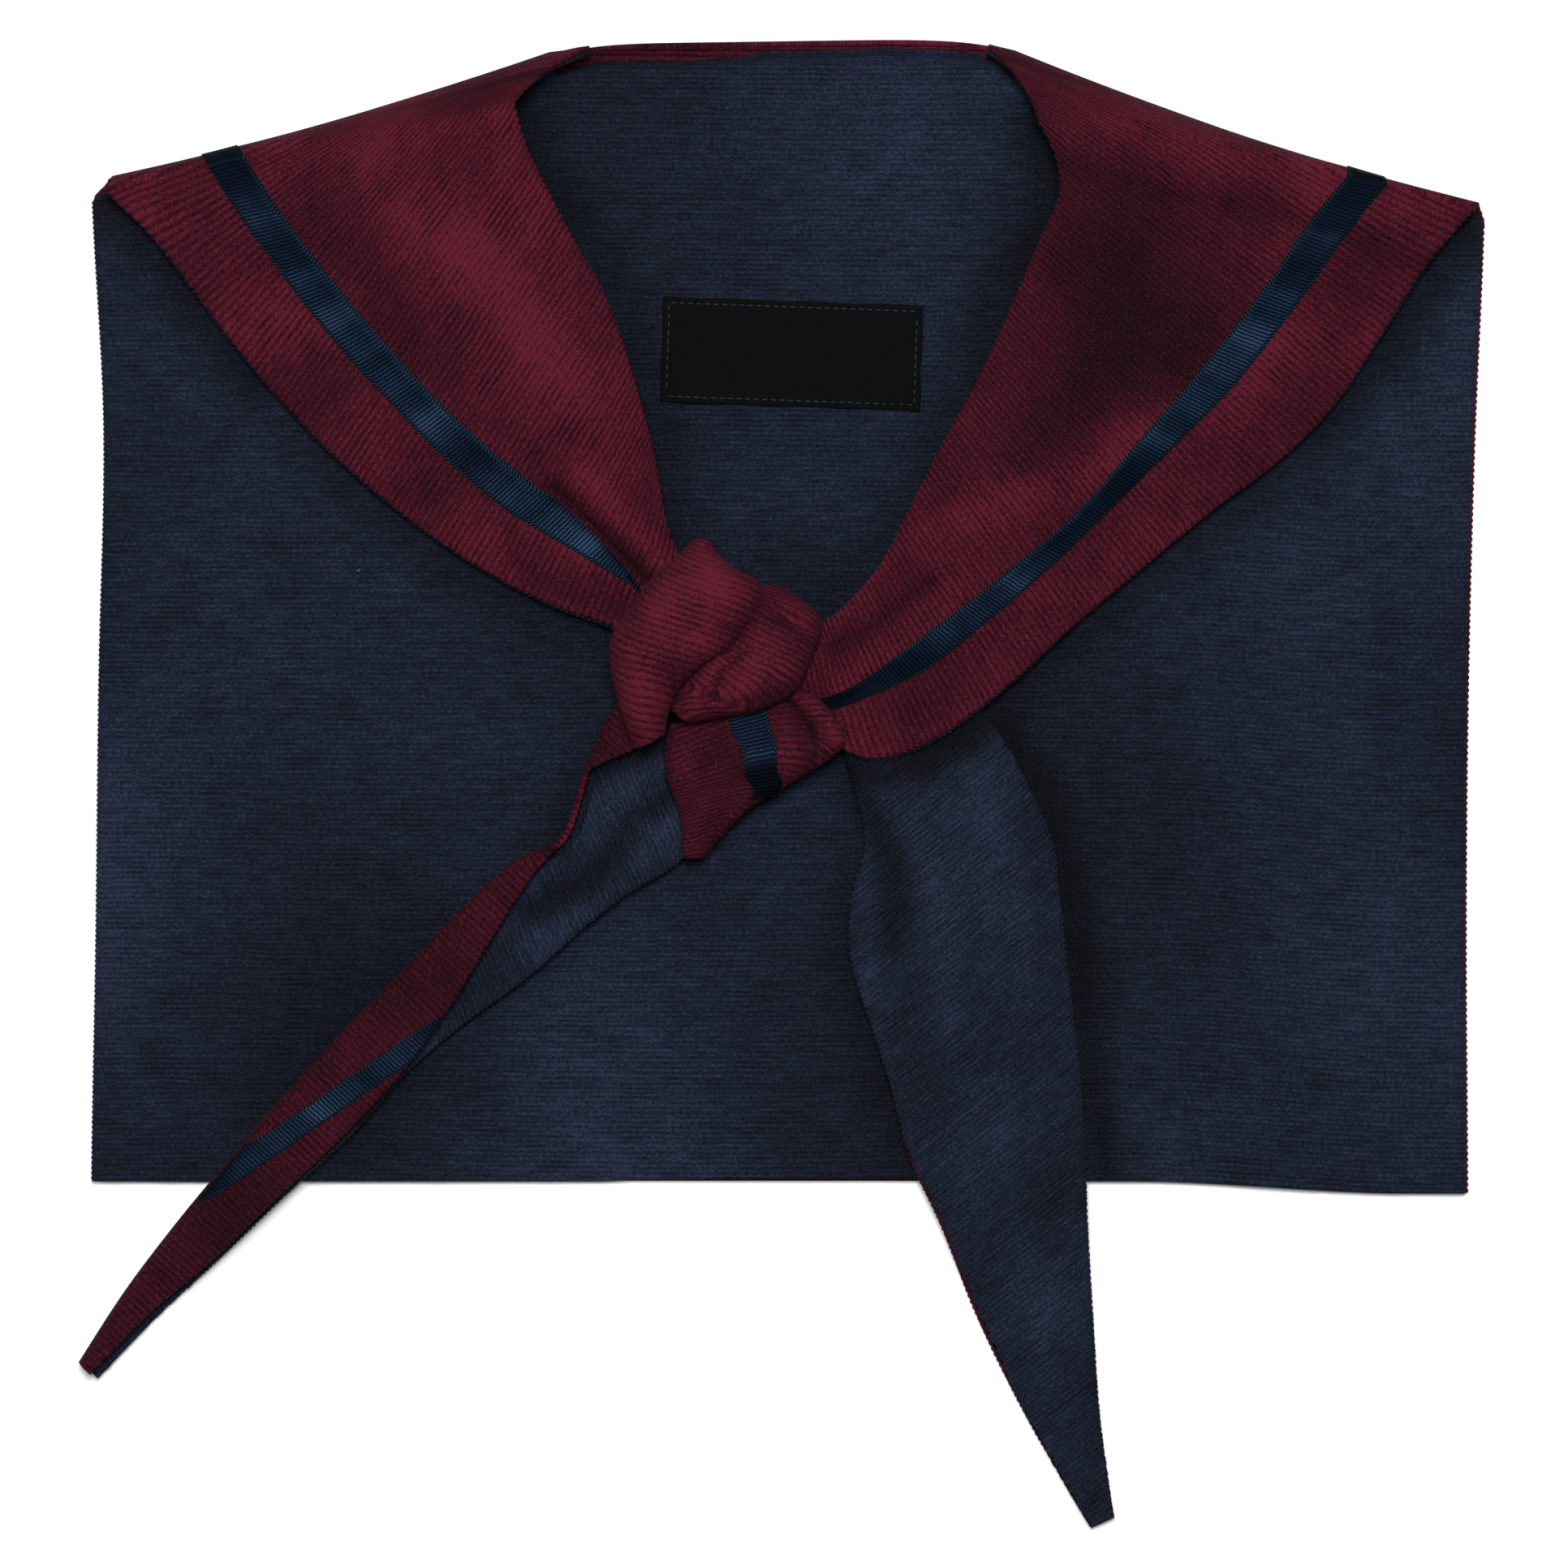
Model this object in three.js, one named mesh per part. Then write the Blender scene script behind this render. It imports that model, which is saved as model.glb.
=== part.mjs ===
import * as THREE from "three";

// Sailor collar of corduroy, tied in a knot and laid down with its back panel under the two fronts.
// Millimetres. x runs across the panel, y from its bottom edge to the neck, z up from the surface.

// Cloths and trims
const outerThickness = 1.3; // burgundy corduroy
const liningThickness = 1.0; // navy needlecord
const ribbonThickness = 0.6;
const ribbonWidth = 7.4;
const gap = 0.3; // between pieces that touch

// Back panel
const panelWidth = 342;
const neckHeight = 281; // bottom edge to the back of the neck
const neckWidth = 112; // between the shoulder points of the neck
const neckDip = 3; // fall of the back of the neck towards its shoulder points
const leftDrop = 34; // fall of the shoulder fold from neck to corner
const rightDrop = 39.5;
const foldBulge = 0.06; // the fold bows outward, as a share of its fall
const sideSway = 3.5; // deepest pull of the side edges
const bottomSag = 3; // the bottom edge hangs lower at the right
const sagFrom = 0.5; // of half the panel's width, where it starts
const sagUntil = 0.9;
const ribbonInset = 31; // side and bottom edge to the middle of the ribbon
const edgeLap = 0.8; // the outer cloth shows past the lining round the panel
const leftNeckLap = 3.2; // and along the back of the neck, at its left end
const rightNeckLap = 1.2; // and at its right end
const frontLap = 0.6; // the lining shows past the outer cloth along the fronts
const ribbonRamp = 5; // over which the cloth climbs onto the ribbon

// Fronts
const frontLoft = 10; // height of the fronts above the panel, in the middle of the shoulder

// Label
const labelWidth = 64;
const labelHeight = 26;
const labelThickness = 0.6;
const labelShift = 1.8; // right of the panel's middle line
const labelDrop = 77.5; // back of the neck to the label's middle
const labelTilt = -2; // degrees

// Knot
const knotWidth = 58;
const knotLength = 80;
const knotHeight = 22;
const knotShift = -14; // right of the panel's middle line
const knotRise = 0.427 * neckHeight; // bottom edge to the knot's middle

// Tails, measured from the knot's middle
const leftTailLength = 229;
const leftTailWidth = 25;
const leftTailAngle = 226.8; // degrees, from the x axis
const rightTailLength = 224;
const rightTailWidth = 53;
const rightTailAngle = -65.7;
const tailFoldRadius = 2; // of the middle of the two cloths, at the left tail's fold
const stepStart = 1; // past the panel's bottom edge, where a tail starts to come down
const stepDown = 30; // over which a tail comes down past the panel's bottom edge

// Heights of the middle of the small space between the two cloths, for what lies on what
const clothStack = outerThickness + gap + liningThickness;
const panelLevel = outerThickness + gap / 2;
const frontLevel = clothStack + gap + liningThickness + gap / 2;
const ribbonRaise = ribbonThickness + gap;
const tailLevel = clothStack + ribbonRaise + gap + outerThickness + gap / 2;
const halfPanel = panelWidth / 2;
const halfNeck = neckWidth / 2;

// Each layer lies between two distances from that middle, counted towards the lining
const outerLayer = [-gap / 2 - outerThickness, -gap / 2];
const liningLayer = [gap / 2, gap / 2 + liningThickness];
const ribbonLayer = [outerLayer[0] - gap - ribbonThickness, outerLayer[0] - gap];
const labelLayer = [liningLayer[1] + gap, liningLayer[1] + gap + labelThickness];
const doubleLayer = [outerLayer[0], liningLayer[1]];

// Pull of the panel's side edges, as shares of sideSway, in even steps from the bottom to the shoulder
const sideEdges = [
  { left: 0.1, right: 0.7 },
  { left: 0.4, right: 0.8 },
  { left: 0.6, right: 0.65 },
  { left: 0.95, right: 0.2 },
  { left: 0.1, right: -0.5 },
];

// Sections across each front, in even steps from the shoulder fold to the knot.
// Places are shares of half the panel's width and of neckHeight. Lifts are shares of frontLoft.
const leftSections = [
  { edgeX: 0.976, edgeY: 0.866, ribbonX: 0.794, ribbonY: 0.888, neckX: 0.385, neckY: 0.94,
    edgeLift: 0.45, ribbonLift: 0.75, middleLift: 1, neckLift: 0.8 },
  { edgeX: 0.901, edgeY: 0.821, ribbonX: 0.739, ribbonY: 0.836, neckX: 0.368, neckY: 0.904,
    edgeLift: 0.26, ribbonLift: 0.6, middleLift: 0.9, neckLift: 0.7 },
  { edgeX: 0.801, edgeY: 0.74, ribbonX: 0.66, ribbonY: 0.772, neckX: 0.337, neckY: 0.865,
    edgeLift: 0.22, ribbonLift: 0.5, middleLift: 0.85, neckLift: 0.6 },
  { edgeX: 0.697, edgeY: 0.665, ribbonX: 0.57, ribbonY: 0.708, neckX: 0.298, neckY: 0.819,
    edgeLift: 0.14, ribbonLift: 0.45, middleLift: 0.85, neckLift: 0.6 },
  { edgeX: 0.585, edgeY: 0.601, ribbonX: 0.467, ribbonY: 0.644, neckX: 0.256, neckY: 0.774,
    edgeLift: 0.14, ribbonLift: 0.45, middleLift: 0.85, neckLift: 0.6 },
  { edgeX: 0.468, edgeY: 0.548, ribbonX: 0.363, ribbonY: 0.591, neckX: 0.218, neckY: 0.708,
    edgeLift: 0.14, ribbonLift: 0.45, middleLift: 0.75, neckLift: 0.6 },
  { edgeX: 0.351, edgeY: 0.508, ribbonX: 0.269, ribbonY: 0.557, neckX: 0.185, neckY: 0.633,
    edgeLift: 0.2, ribbonLift: 0.42, middleLift: 0.6, neckLift: 0.55 },
  { edgeX: 0.246, edgeY: 0.484, ribbonX: 0.202, ribbonY: 0.529, neckX: 0.159, neckY: 0.559,
    edgeLift: 0.34, ribbonLift: 0.36, middleLift: 0.45, neckLift: 0.45 },
  { edgeX: 0.165, edgeY: 0.458, ribbonX: 0.135, ribbonY: 0.486, neckX: 0.105, neckY: 0.514,
    edgeLift: 0.3, ribbonLift: 0.32, middleLift: 0.34, neckLift: 0.34 },
];
const rightSections = [
  { edgeX: 0.99, edgeY: 0.849, ribbonX: 0.835, ribbonY: 0.87, neckX: 0.363, neckY: 0.922,
    edgeLift: 0.45, ribbonLift: 0.75, middleLift: 1.05, neckLift: 0.85 },
  { edgeX: 0.925, edgeY: 0.804, ribbonX: 0.788, ribbonY: 0.838, neckX: 0.387, neckY: 0.893,
    edgeLift: 0.3, ribbonLift: 0.65, middleLift: 0.95, neckLift: 0.8 },
  { edgeX: 0.861, edgeY: 0.744, ribbonX: 0.704, ribbonY: 0.765, neckX: 0.391, neckY: 0.86,
    edgeLift: 0.26, ribbonLift: 0.55, middleLift: 0.85, neckLift: 0.75 },
  { edgeX: 0.794, edgeY: 0.682, ribbonX: 0.613, ribbonY: 0.695, neckX: 0.364, neckY: 0.822,
    edgeLift: 0.2, ribbonLift: 0.5, middleLift: 0.85, neckLift: 0.7 },
  { edgeX: 0.716, edgeY: 0.633, ribbonX: 0.519, ribbonY: 0.636, neckX: 0.326, neckY: 0.767,
    edgeLift: 0.14, ribbonLift: 0.6, middleLift: 0.9, neckLift: 0.65 },
  { edgeX: 0.613, edgeY: 0.586, ribbonX: 0.432, ribbonY: 0.58, neckX: 0.282, neckY: 0.708,
    edgeLift: 0.14, ribbonLift: 0.65, middleLift: 0.9, neckLift: 0.6 },
  { edgeX: 0.51, edgeY: 0.534, ribbonX: 0.353, ribbonY: 0.536, neckX: 0.233, neckY: 0.653,
    edgeLift: 0.16, ribbonLift: 0.6, middleLift: 0.85, neckLift: 0.6 },
  { edgeX: 0.412, edgeY: 0.484, ribbonX: 0.268, ribbonY: 0.493, neckX: 0.187, neckY: 0.598,
    edgeLift: 0.2, ribbonLift: 0.55, middleLift: 0.75, neckLift: 0.55 },
  { edgeX: 0.32, edgeY: 0.433, ribbonX: 0.18, ribbonY: 0.452, neckX: 0.145, neckY: 0.546,
    edgeLift: 0.4, ribbonLift: 0.55, middleLift: 0.6, neckLift: 0.5 },
  { edgeX: 0.215, edgeY: 0.386, ribbonX: 0.104, ribbonY: 0.431, neckX: 0.087, neckY: 0.505,
    edgeLift: 0.5, ribbonLift: 0.5, middleLift: 0.5, neckLift: 0.45 },
  { edgeX: 0.127, edgeY: 0.369, ribbonX: 0.063, ribbonY: 0.422, neckX: 0.049, neckY: 0.482,
    edgeLift: 0.46, ribbonLift: 0.45, middleLift: 0.45, neckLift: 0.4 },
  { edgeX: 0.078, edgeY: 0.386, ribbonX: 0.04, ribbonY: 0.424, neckX: 0.022, neckY: 0.463,
    edgeLift: 0.42, ribbonLift: 0.4, middleLift: 0.4, neckLift: 0.38 },
];

// The two fronts: side of the panel, fall of the fold and rows from fold to knot
const leftFront = { side: -1, drop: leftDrop, sections: leftSections, rows: 14 };
const rightFront = { side: 1, drop: rightDrop, sections: rightSections, rows: 17 };
const rollRows = 6; // round the shoulder fold

// Places across a front or half a panel: 0 to 1 from the edge to the ribbon, 1 to 2 over the ribbon,
// 2 to 3 from the ribbon to the neck
const frontAcross = [0, 0.45, 0.82, 1, 2, 2.08, 2.22, 2.42, 2.62, 2.82, 2.94, 3];
const panelAcross = [0, 0.82, 1, 2, 2.08, 2.42, 2.82, 3];
const neckColumns = 6;
const panelRows = [0.35, 0.62, 0.84]; // above the ribbon, as shares of the way up to the lower corner
const neckRollRows = 2; // how far the back of the neck follows the shoulder roll

// Bands of the knot, sections from one end to the other. Places are shares of half knotWidth and
// half knotLength from the knot's middle, heights are shares of knotHeight above the front's level.
const wrapSections = [
  { leftX: -0.29, leftY: 0.93, leftZ: 0.36, crown: 0.48, rightX: -0.12, rightY: 0.93, rightZ: 0.36 },
  { leftX: -0.39, leftY: 0.855, leftZ: 0.38, crown: 0.64, rightX: -0.07, rightY: 0.83, rightZ: 0.36 },
  { leftX: -0.57, leftY: 0.73, leftZ: 0.38, crown: 0.78, rightX: 0.12, rightY: 0.73, rightZ: 0.4 },
  { leftX: -0.7, leftY: 0.635, leftZ: 0.36, crown: 0.85, rightX: 0.28, rightY: 0.65, rightZ: 0.46 },
  { leftX: -0.83, leftY: 0.5, leftZ: 0.3, crown: 0.9, rightX: 0.27, rightY: 0.52, rightZ: 0.54 },
  { leftX: -0.95, leftY: 0.385, leftZ: 0.26, crown: 0.92, rightX: 0.15, rightY: 0.4, rightZ: 0.58 },
  { leftX: -1.0, leftY: 0.25, leftZ: 0.25, crown: 0.92, rightX: 0.04, rightY: 0.29, rightZ: 0.6 },
  { leftX: -0.98, leftY: 0.11, leftZ: 0.28, crown: 0.88, rightX: -0.2, rightY: 0.19, rightZ: 0.6 },
  { leftX: -0.93, leftY: -0.04, leftZ: 0.34, crown: 0.8, rightX: -0.37, rightY: 0.07, rightZ: 0.56 },
  { leftX: -0.86, leftY: -0.2, leftZ: 0.36, crown: 0.66, rightX: -0.49, rightY: -0.08, rightZ: 0.46 },
  { leftX: -0.77, leftY: -0.35, leftZ: 0.36, crown: 0.48, rightX: -0.53, rightY: -0.23, rightZ: 0.38 },
];
const foldSections = [
  { leftX: 0.3, leftY: 0.64, leftZ: 0.34, crown: 0.44, rightX: 0.48, rightY: 0.62, rightZ: 0.32 },
  { leftX: 0.28, leftY: 0.525, leftZ: 0.46, crown: 0.66, rightX: 0.77, rightY: 0.46, rightZ: 0.32 },
  { leftX: 0.16, leftY: 0.4, leftZ: 0.52, crown: 0.76, rightX: 0.77, rightY: 0.34, rightZ: 0.32 },
  { leftX: 0.06, leftY: 0.28, leftZ: 0.54, crown: 0.8, rightX: 0.69, rightY: 0.18, rightZ: 0.34 },
  { leftX: -0.11, leftY: 0.19, leftZ: 0.54, crown: 0.8, rightX: 0.57, rightY: 0.01, rightZ: 0.38 },
  { leftX: -0.27, leftY: 0.1, leftZ: 0.52, crown: 0.76, rightX: 0.3, rightY: -0.09, rightZ: 0.42 },
  { leftX: -0.38, leftY: 0.0, leftZ: 0.5, crown: 0.68, rightX: 0.0, rightY: -0.13, rightZ: 0.42 },
  { leftX: -0.44, leftY: -0.09, leftZ: 0.44, crown: 0.56, rightX: -0.29, rightY: -0.17, rightZ: 0.4 },
];
const flapSections = [
  { leftX: -0.47, leftY: -0.2, leftZ: 0.22, crown: 0.27, rightX: 0.56, rightY: 0.02, rightZ: 0.27 },
  { leftX: -0.53, leftY: -0.34, leftZ: 0.23, crown: 0.38, rightX: 0.82, rightY: -0.07, rightZ: 0.36 },
  { leftX: -0.51, leftY: -0.52, leftZ: 0.21, crown: 0.5, rightX: 0.99, rightY: -0.29, rightZ: 0.36 },
  { leftX: -0.45, leftY: -0.655, leftZ: 0.2, crown: 0.42, rightX: 0.6, rightY: -0.52, rightZ: 0.26 },
  { leftX: -0.41, leftY: -0.82, leftZ: 0.2, crown: 0.34, rightX: 0.2, rightY: -0.685, rightZ: 0.2 },
  { leftX: -0.37, leftY: -0.94, leftZ: 0.2, crown: 0.26, rightX: -0.1, rightY: -0.92, rightZ: 0.2 },
];
// Where the ribbon crosses the flap, as shares of its width, in even steps from its first row
const flapRibbon = [
  { left: 0.45, right: 0.62 },
  { left: 0.445, right: 0.595 },
  { left: 0.46, right: 0.61 },
  { left: 0.63, right: 0.9 },
];
const flapRibbonFrom = 0.18; // how far down the flap it comes out and ends
const flapRibbonUntil = 0.68;
const wrapRows = 14;
const foldRows = 10;
const flapRows = 10;
const flapRibbonRows = 6;
const bandAcross = 8; // columns over each band

// Gathered cloth inside the knot
const coreWidth = 0.36; // of knotWidth
const coreLength = 0.24; // of knotLength
const coreHeight = 0.34; // of knotHeight
const coreMiddle = 0.34; // height of its middle above the fronts' level, of knotHeight
const coreShift = 0.075; // right of the knot's middle, of knotWidth
const coreRise = 0.12; // above the knot's middle, of knotLength

// Sections of the tails from the knot to the tip. Lengths along the tail are shares of its length and
// lengths across it shares of its width, and flap is where the folded cloth ends.
// Lifts are shares of frontLoft.
const leftTailSections = [
  { along: 0.085, left: -0.74, right: 0.5, flap: -0.2, lift: 0 },
  { along: 0.12, left: -0.6, right: 0.65, flap: -0.18, lift: 0 },
  { along: 0.165, left: -0.42, right: 0.8, flap: -0.195, lift: 0.02 },
  { along: 0.235, left: -0.23, right: 0.63, flap: -0.1, lift: 0.04 },
  { along: 0.29, left: -0.41, right: 0.55, flap: -0.15, lift: 0.06 },
  { along: 0.37, left: -0.46, right: 0.49, flap: -0.01, lift: 0.06 },
  { along: 0.45, left: -0.47, right: 0.35, flap: 0.14, lift: 0.04 },
  { along: 0.53, left: -0.48, right: 0.27, flap: 0.23, lift: 0.02 },
  { along: 0.62, left: -0.48, right: 0.29, flap: 0.24, lift: 0 },
  { along: 0.72, left: -0.44, right: 0.22, flap: 0.18, lift: 0 },
  { along: 0.82, left: -0.385, right: 0.17, flap: 0.13, lift: 0 },
  { along: 0.91, left: -0.3, right: 0.11, flap: 0.04, lift: 0 },
  { along: 1, left: -0.15, right: 0.1, flap: 0.02, lift: 0 },
];
const rightTailSections = [
  { leftAlong: 0.05, left: 0.42, rightAlong: 0.06, right: 0.81, lift: 0 },
  { leftAlong: 0.12, left: 0.38, rightAlong: 0.14, right: 1.05, lift: 0.02 },
  { leftAlong: 0.21, left: 0.3, rightAlong: 0.28, right: 1.1, lift: 0.1 },
  { leftAlong: 0.265, left: 0.13, rightAlong: 0.36, right: 1.01, lift: 0.12 },
  { leftAlong: 0.32, left: 0.02, rightAlong: 0.42, right: 0.93, lift: 0.1 },
  { leftAlong: 0.39, left: -0.02, rightAlong: 0.48, right: 0.85, lift: 0.08 },
  { leftAlong: 0.465, left: -0.06, rightAlong: 0.545, right: 0.76, lift: 0.05 },
  { leftAlong: 0.54, left: -0.12, rightAlong: 0.62, right: 0.64, lift: 0.02 },
  { leftAlong: 0.63, left: -0.12, rightAlong: 0.69, right: 0.52, lift: 0 },
  { leftAlong: 0.74, left: -0.14, rightAlong: 0.79, right: 0.36, lift: 0 },
  { leftAlong: 0.85, left: -0.125, rightAlong: 0.885, right: 0.21, lift: 0 },
  { leftAlong: 0.95, left: -0.085, rightAlong: 0.97, right: 0.1, lift: 0 },
  { leftAlong: 1, left: -0.06, rightAlong: 1, right: 0.065, lift: 0 },
];
const leftTailRows = 15;
const rightTailRows = 13;
const baseShares = [0.33, 0.67, 1]; // places on the left tail's base, from its fold to its right edge
// The ribbon's ends on the left tail: shares of its length and width, and of the way down the table
const leftTailRibbon = {
  fromT: 0.53, fromAlong: 0.47, fromAcross: 0.2,
  toT: 0.79, toAlong: 0.78, toAcross: -0.42,
};

// A smooth value of one column of a table whose rows are evenly spaced from 0 to 1
function between(rows, column, t) {
  const place = Math.min(Math.max(t, 0), 1) * (rows.length - 1);
  const i = Math.min(Math.floor(place), rows.length - 2);
  const u = place - i;
  const value = (k) => rows[Math.min(Math.max(k, 0), rows.length - 1)][column];
  const [a, b, c, d] = [value(i - 1), value(i), value(i + 1), value(i + 2)];
  return b + 0.5 * u * (c - a + u * (2 * a - 5 * b + 4 * c - d + u * (3 * (b - c) + d - a)));
}

const mix = (a, b, t) => a + (b - a) * t;
const smooth = (t) => {
  const u = Math.min(Math.max(t, 0), 1);
  return u * u * (3 - 2 * u);
};
const steps = (count) => Array.from({ length: count + 1 }, (_, i) => i / count);

// Rise of the panel where it lies on the ribbon: whole over the ribbon, none past the ramps
function ribbonRise(fromMiddle) {
  const past = Math.abs(fromMiddle) - ribbonWidth / 2;
  return ribbonRaise * (1 - smooth(past / ribbonRamp));
}

// Half the panel's width at a height, on one side
function sideEdge(front, y) {
  const column = front.side < 0 ? "left" : "right";
  return halfPanel - sideSway * between(sideEdges, column, y / (neckHeight - front.drop));
}

// Place across a strip with the ribbon in it, from its edge, the ribbon's middle and its neck side
function acrossStrip(edge, ribbon, neck, a) {
  const outward = edge.clone().sub(ribbon).setLength(ribbonWidth / 2);
  const inward = neck.clone().sub(ribbon).setLength(ribbonWidth / 2);
  const near = ribbon.clone().add(outward);
  const far = ribbon.clone().add(inward);
  if (a <= 1) return edge.clone().lerp(near, a);
  if (a <= 2) return near.clone().lerp(far, a - 1);
  return far.clone().lerp(neck, a - 2);
}

// x of a column of the panel, at a height
function panelX(front, y, a) {
  const edge = new THREE.Vector2(sideEdge(front, y), 0);
  const ribbon = new THREE.Vector2(halfPanel - ribbonInset, 0);
  return front.side * acrossStrip(edge, ribbon, new THREE.Vector2(halfNeck, 0), a).x;
}

// Height of the panel's middle surface: the ribbon runs where the greater of the two lengths is 0
function panelZ(x, y) {
  const fromSides = Math.abs(x) - (halfPanel - ribbonInset);
  const fromBottom = ribbonInset - y;
  return panelLevel + ribbonRise(Math.max(fromSides, fromBottom));
}

// Bottom edge of the panel
const bottomY = (x) => -bottomSag * smooth((x / halfPanel - sagFrom) / (sagUntil - sagFrom));

// y of the shoulder fold's outline
function foldY(front, x) {
  const s = Math.min(Math.max((Math.abs(x) - halfNeck) / (halfPanel - halfNeck), 0), 1);
  const bulge = foldBulge * Math.sin(Math.PI * s);
  return neckHeight - neckDip - (front.drop - neckDip) * (s + bulge);
}

// y of the outline of the back of the neck
const neckEdgeY = (x) => neckHeight - neckDip * (x / halfNeck) ** 4;

// Point of a front past its fold: t from the fold to the knot, a across it
function frontPoint(front, t, a) {
  const at = (column) => between(front.sections, column, t);
  const place = (name) =>
    new THREE.Vector2(front.side * at(name + "X") * halfPanel, at(name + "Y") * neckHeight);
  const p = acrossStrip(place("edge"), place("ribbon"), place("neck"), a);
  return new THREE.Vector3(p.x, p.y, frontLevel + frontLoft * frontLift(at, a));
}

// Lift across a front: a smooth curve through its edge, the ribbon, the middle and the neck edge
function frontLift(at, a) {
  const places = [0, 1.5, 2.42, 3];
  const lifts = [at("edgeLift"), at("ribbonLift"), at("middleLift"), at("neckLift")];
  const slope = (i) => {
    const [before, after] = [Math.max(i - 1, 0), Math.min(i + 1, 3)];
    return (lifts[after] - lifts[before]) / (places[after] - places[before]);
  };
  const i = a < places[1] ? 0 : a < places[2] ? 1 : 2;
  const width = places[i + 1] - places[i];
  const u = (a - places[i]) / width;
  const ease = smooth(u);
  const bend = u * (1 - u) * width;
  return mix(lifts[i], lifts[i + 1], ease) + bend * (slope(i) * (1 - u) - slope(i + 1) * u);
}

// Point of the shoulder roll: angle from 0 on the panel to half a turn on the front. A round quarter
// rises to the fold's outline, and a longer one comes over onto the front.
function rollPoint(front, angle, a) {
  const end = frontPoint(front, 0, a);
  const x = panelX(front, neckHeight - front.drop, a);
  const topY = foldY(front, x);
  const startZ = panelLevel + ribbonRise(Math.abs(x) - (halfPanel - ribbonInset));
  const radius = (end.z - startZ) / 2;
  const risen = Math.sin(angle);
  const z = mix(startZ, end.z, (1 - Math.cos(angle)) / 2);
  if (angle < Math.PI / 2) return new THREE.Vector3(x, topY - radius * (1 - risen), z);
  return new THREE.Vector3(mix(end.x, x, risen), mix(end.y, topY, risen), z);
}

// Rows of points of a whole front, from the start of its roll to the knot, left to right
function frontGrid(front) {
  const columns = front.side < 0 ? frontAcross : [...frontAcross].reverse();
  const roll = steps(rollRows).map((t) => columns.map((a) => rollPoint(front, t * Math.PI, a)));
  const past = steps(front.rows).slice(1).map((t) => columns.map((a) => frontPoint(front, t, a)));
  return [...roll, ...past];
}

// Rows of points of the panel, left to right, and of the back of the neck, which starts to roll
function panelGrid() {
  const half = ribbonWidth / 2;
  const ribbonRows = [-half - ribbonRamp, -half, half, half + ribbonRamp].map((d) => ribbonInset + d);
  const cornerY = neckHeight - Math.max(leftDrop, rightDrop);
  const rows = ["bottom", ...ribbonRows, ...panelRows.map((share) => share * cornerY), "top"];
  const neckRadius = (frontPoint(leftFront, 0, 3).z - panelLevel) / 2;
  const neckStart = (x) => neckEdgeY(x) - neckRadius;
  const point = (x, row, topY) => {
    const y = row === "bottom" ? bottomY(x) : row === "top" ? topY - gap : row;
    return new THREE.Vector3(x, y, panelZ(x, y));
  };
  const sidePoint = (front, a, row) => {
    const x = panelX(front, typeof row === "number" ? row : row === "top" ? cornerY : 0, a);
    return point(x, row, rollPoint(front, 0, a).y);
  };
  const neckX = steps(neckColumns).slice(1, -1).map((t) => mix(-halfNeck, halfNeck, t));
  const flat = rows.map((row) => [
    ...panelAcross.map((a) => sidePoint(leftFront, a, row)),
    ...neckX.map((x) => point(x, row, neckStart(x))),
    ...[...panelAcross].reverse().map((a) => sidePoint(rightFront, a, row)),
  ]);
  const noPoints = panelAcross.slice(1).map(() => null);
  const rolled = steps(neckRollRows).slice(1).map((t) => {
    const angle = (t * neckRollRows * Math.PI) / rollRows;
    const at = (x) =>
      new THREE.Vector3(x, neckStart(x) + neckRadius * Math.sin(angle),
        panelLevel + neckRadius * (1 - Math.cos(angle)));
    const ends = halfNeck - 3 * gap;
    return [...noPoints, ...[-ends, ...neckX, ends].map(at), ...noPoints];
  });
  return [...flat, ...rolled];
}

// A grid of points with the unit vectors square to it, on its lining side. Its first rows may lie flat.
function sheetOf(points, flatRows = 0) {
  const along = (r, c, dr, dc) => {
    const before = points[r - dr]?.[c - dc] ?? points[r][c];
    const after = points[r + dr]?.[c + dc] ?? points[r][c];
    return after.clone().sub(before);
  };
  const square = (r, c) =>
    r < flatRows ? new THREE.Vector3(0, 0, 1) : along(r, c, 0, 1).cross(along(r, c, 1, 0)).normalize();
  const normals = points.map((row, r) => row.map((p, c) => p && square(r, c)));
  return { points, normals };
}

// The same sheet with one border moved in by a length, or out where it is negative
function trimmed({ points, normals }, border, length) {
  const moved = points.map((row) => row.map((p) => p && p.clone()));
  const step = { left: [0, 1], right: [0, -1], first: [1, 0], last: [-1, 0] }[border];
  points.forEach((row, r) => row.forEach((p, c) => {
    const inner = points[r + step[0]]?.[c + step[1]];
    if (!p || !inner || points[r - step[0]]?.[c - step[1]]) return;
    const by = typeof length === "function" ? length(r, c) : length;
    moved[r][c].add(inner.clone().sub(p).setLength(by));
  }));
  return { points: moved, normals };
}

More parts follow.
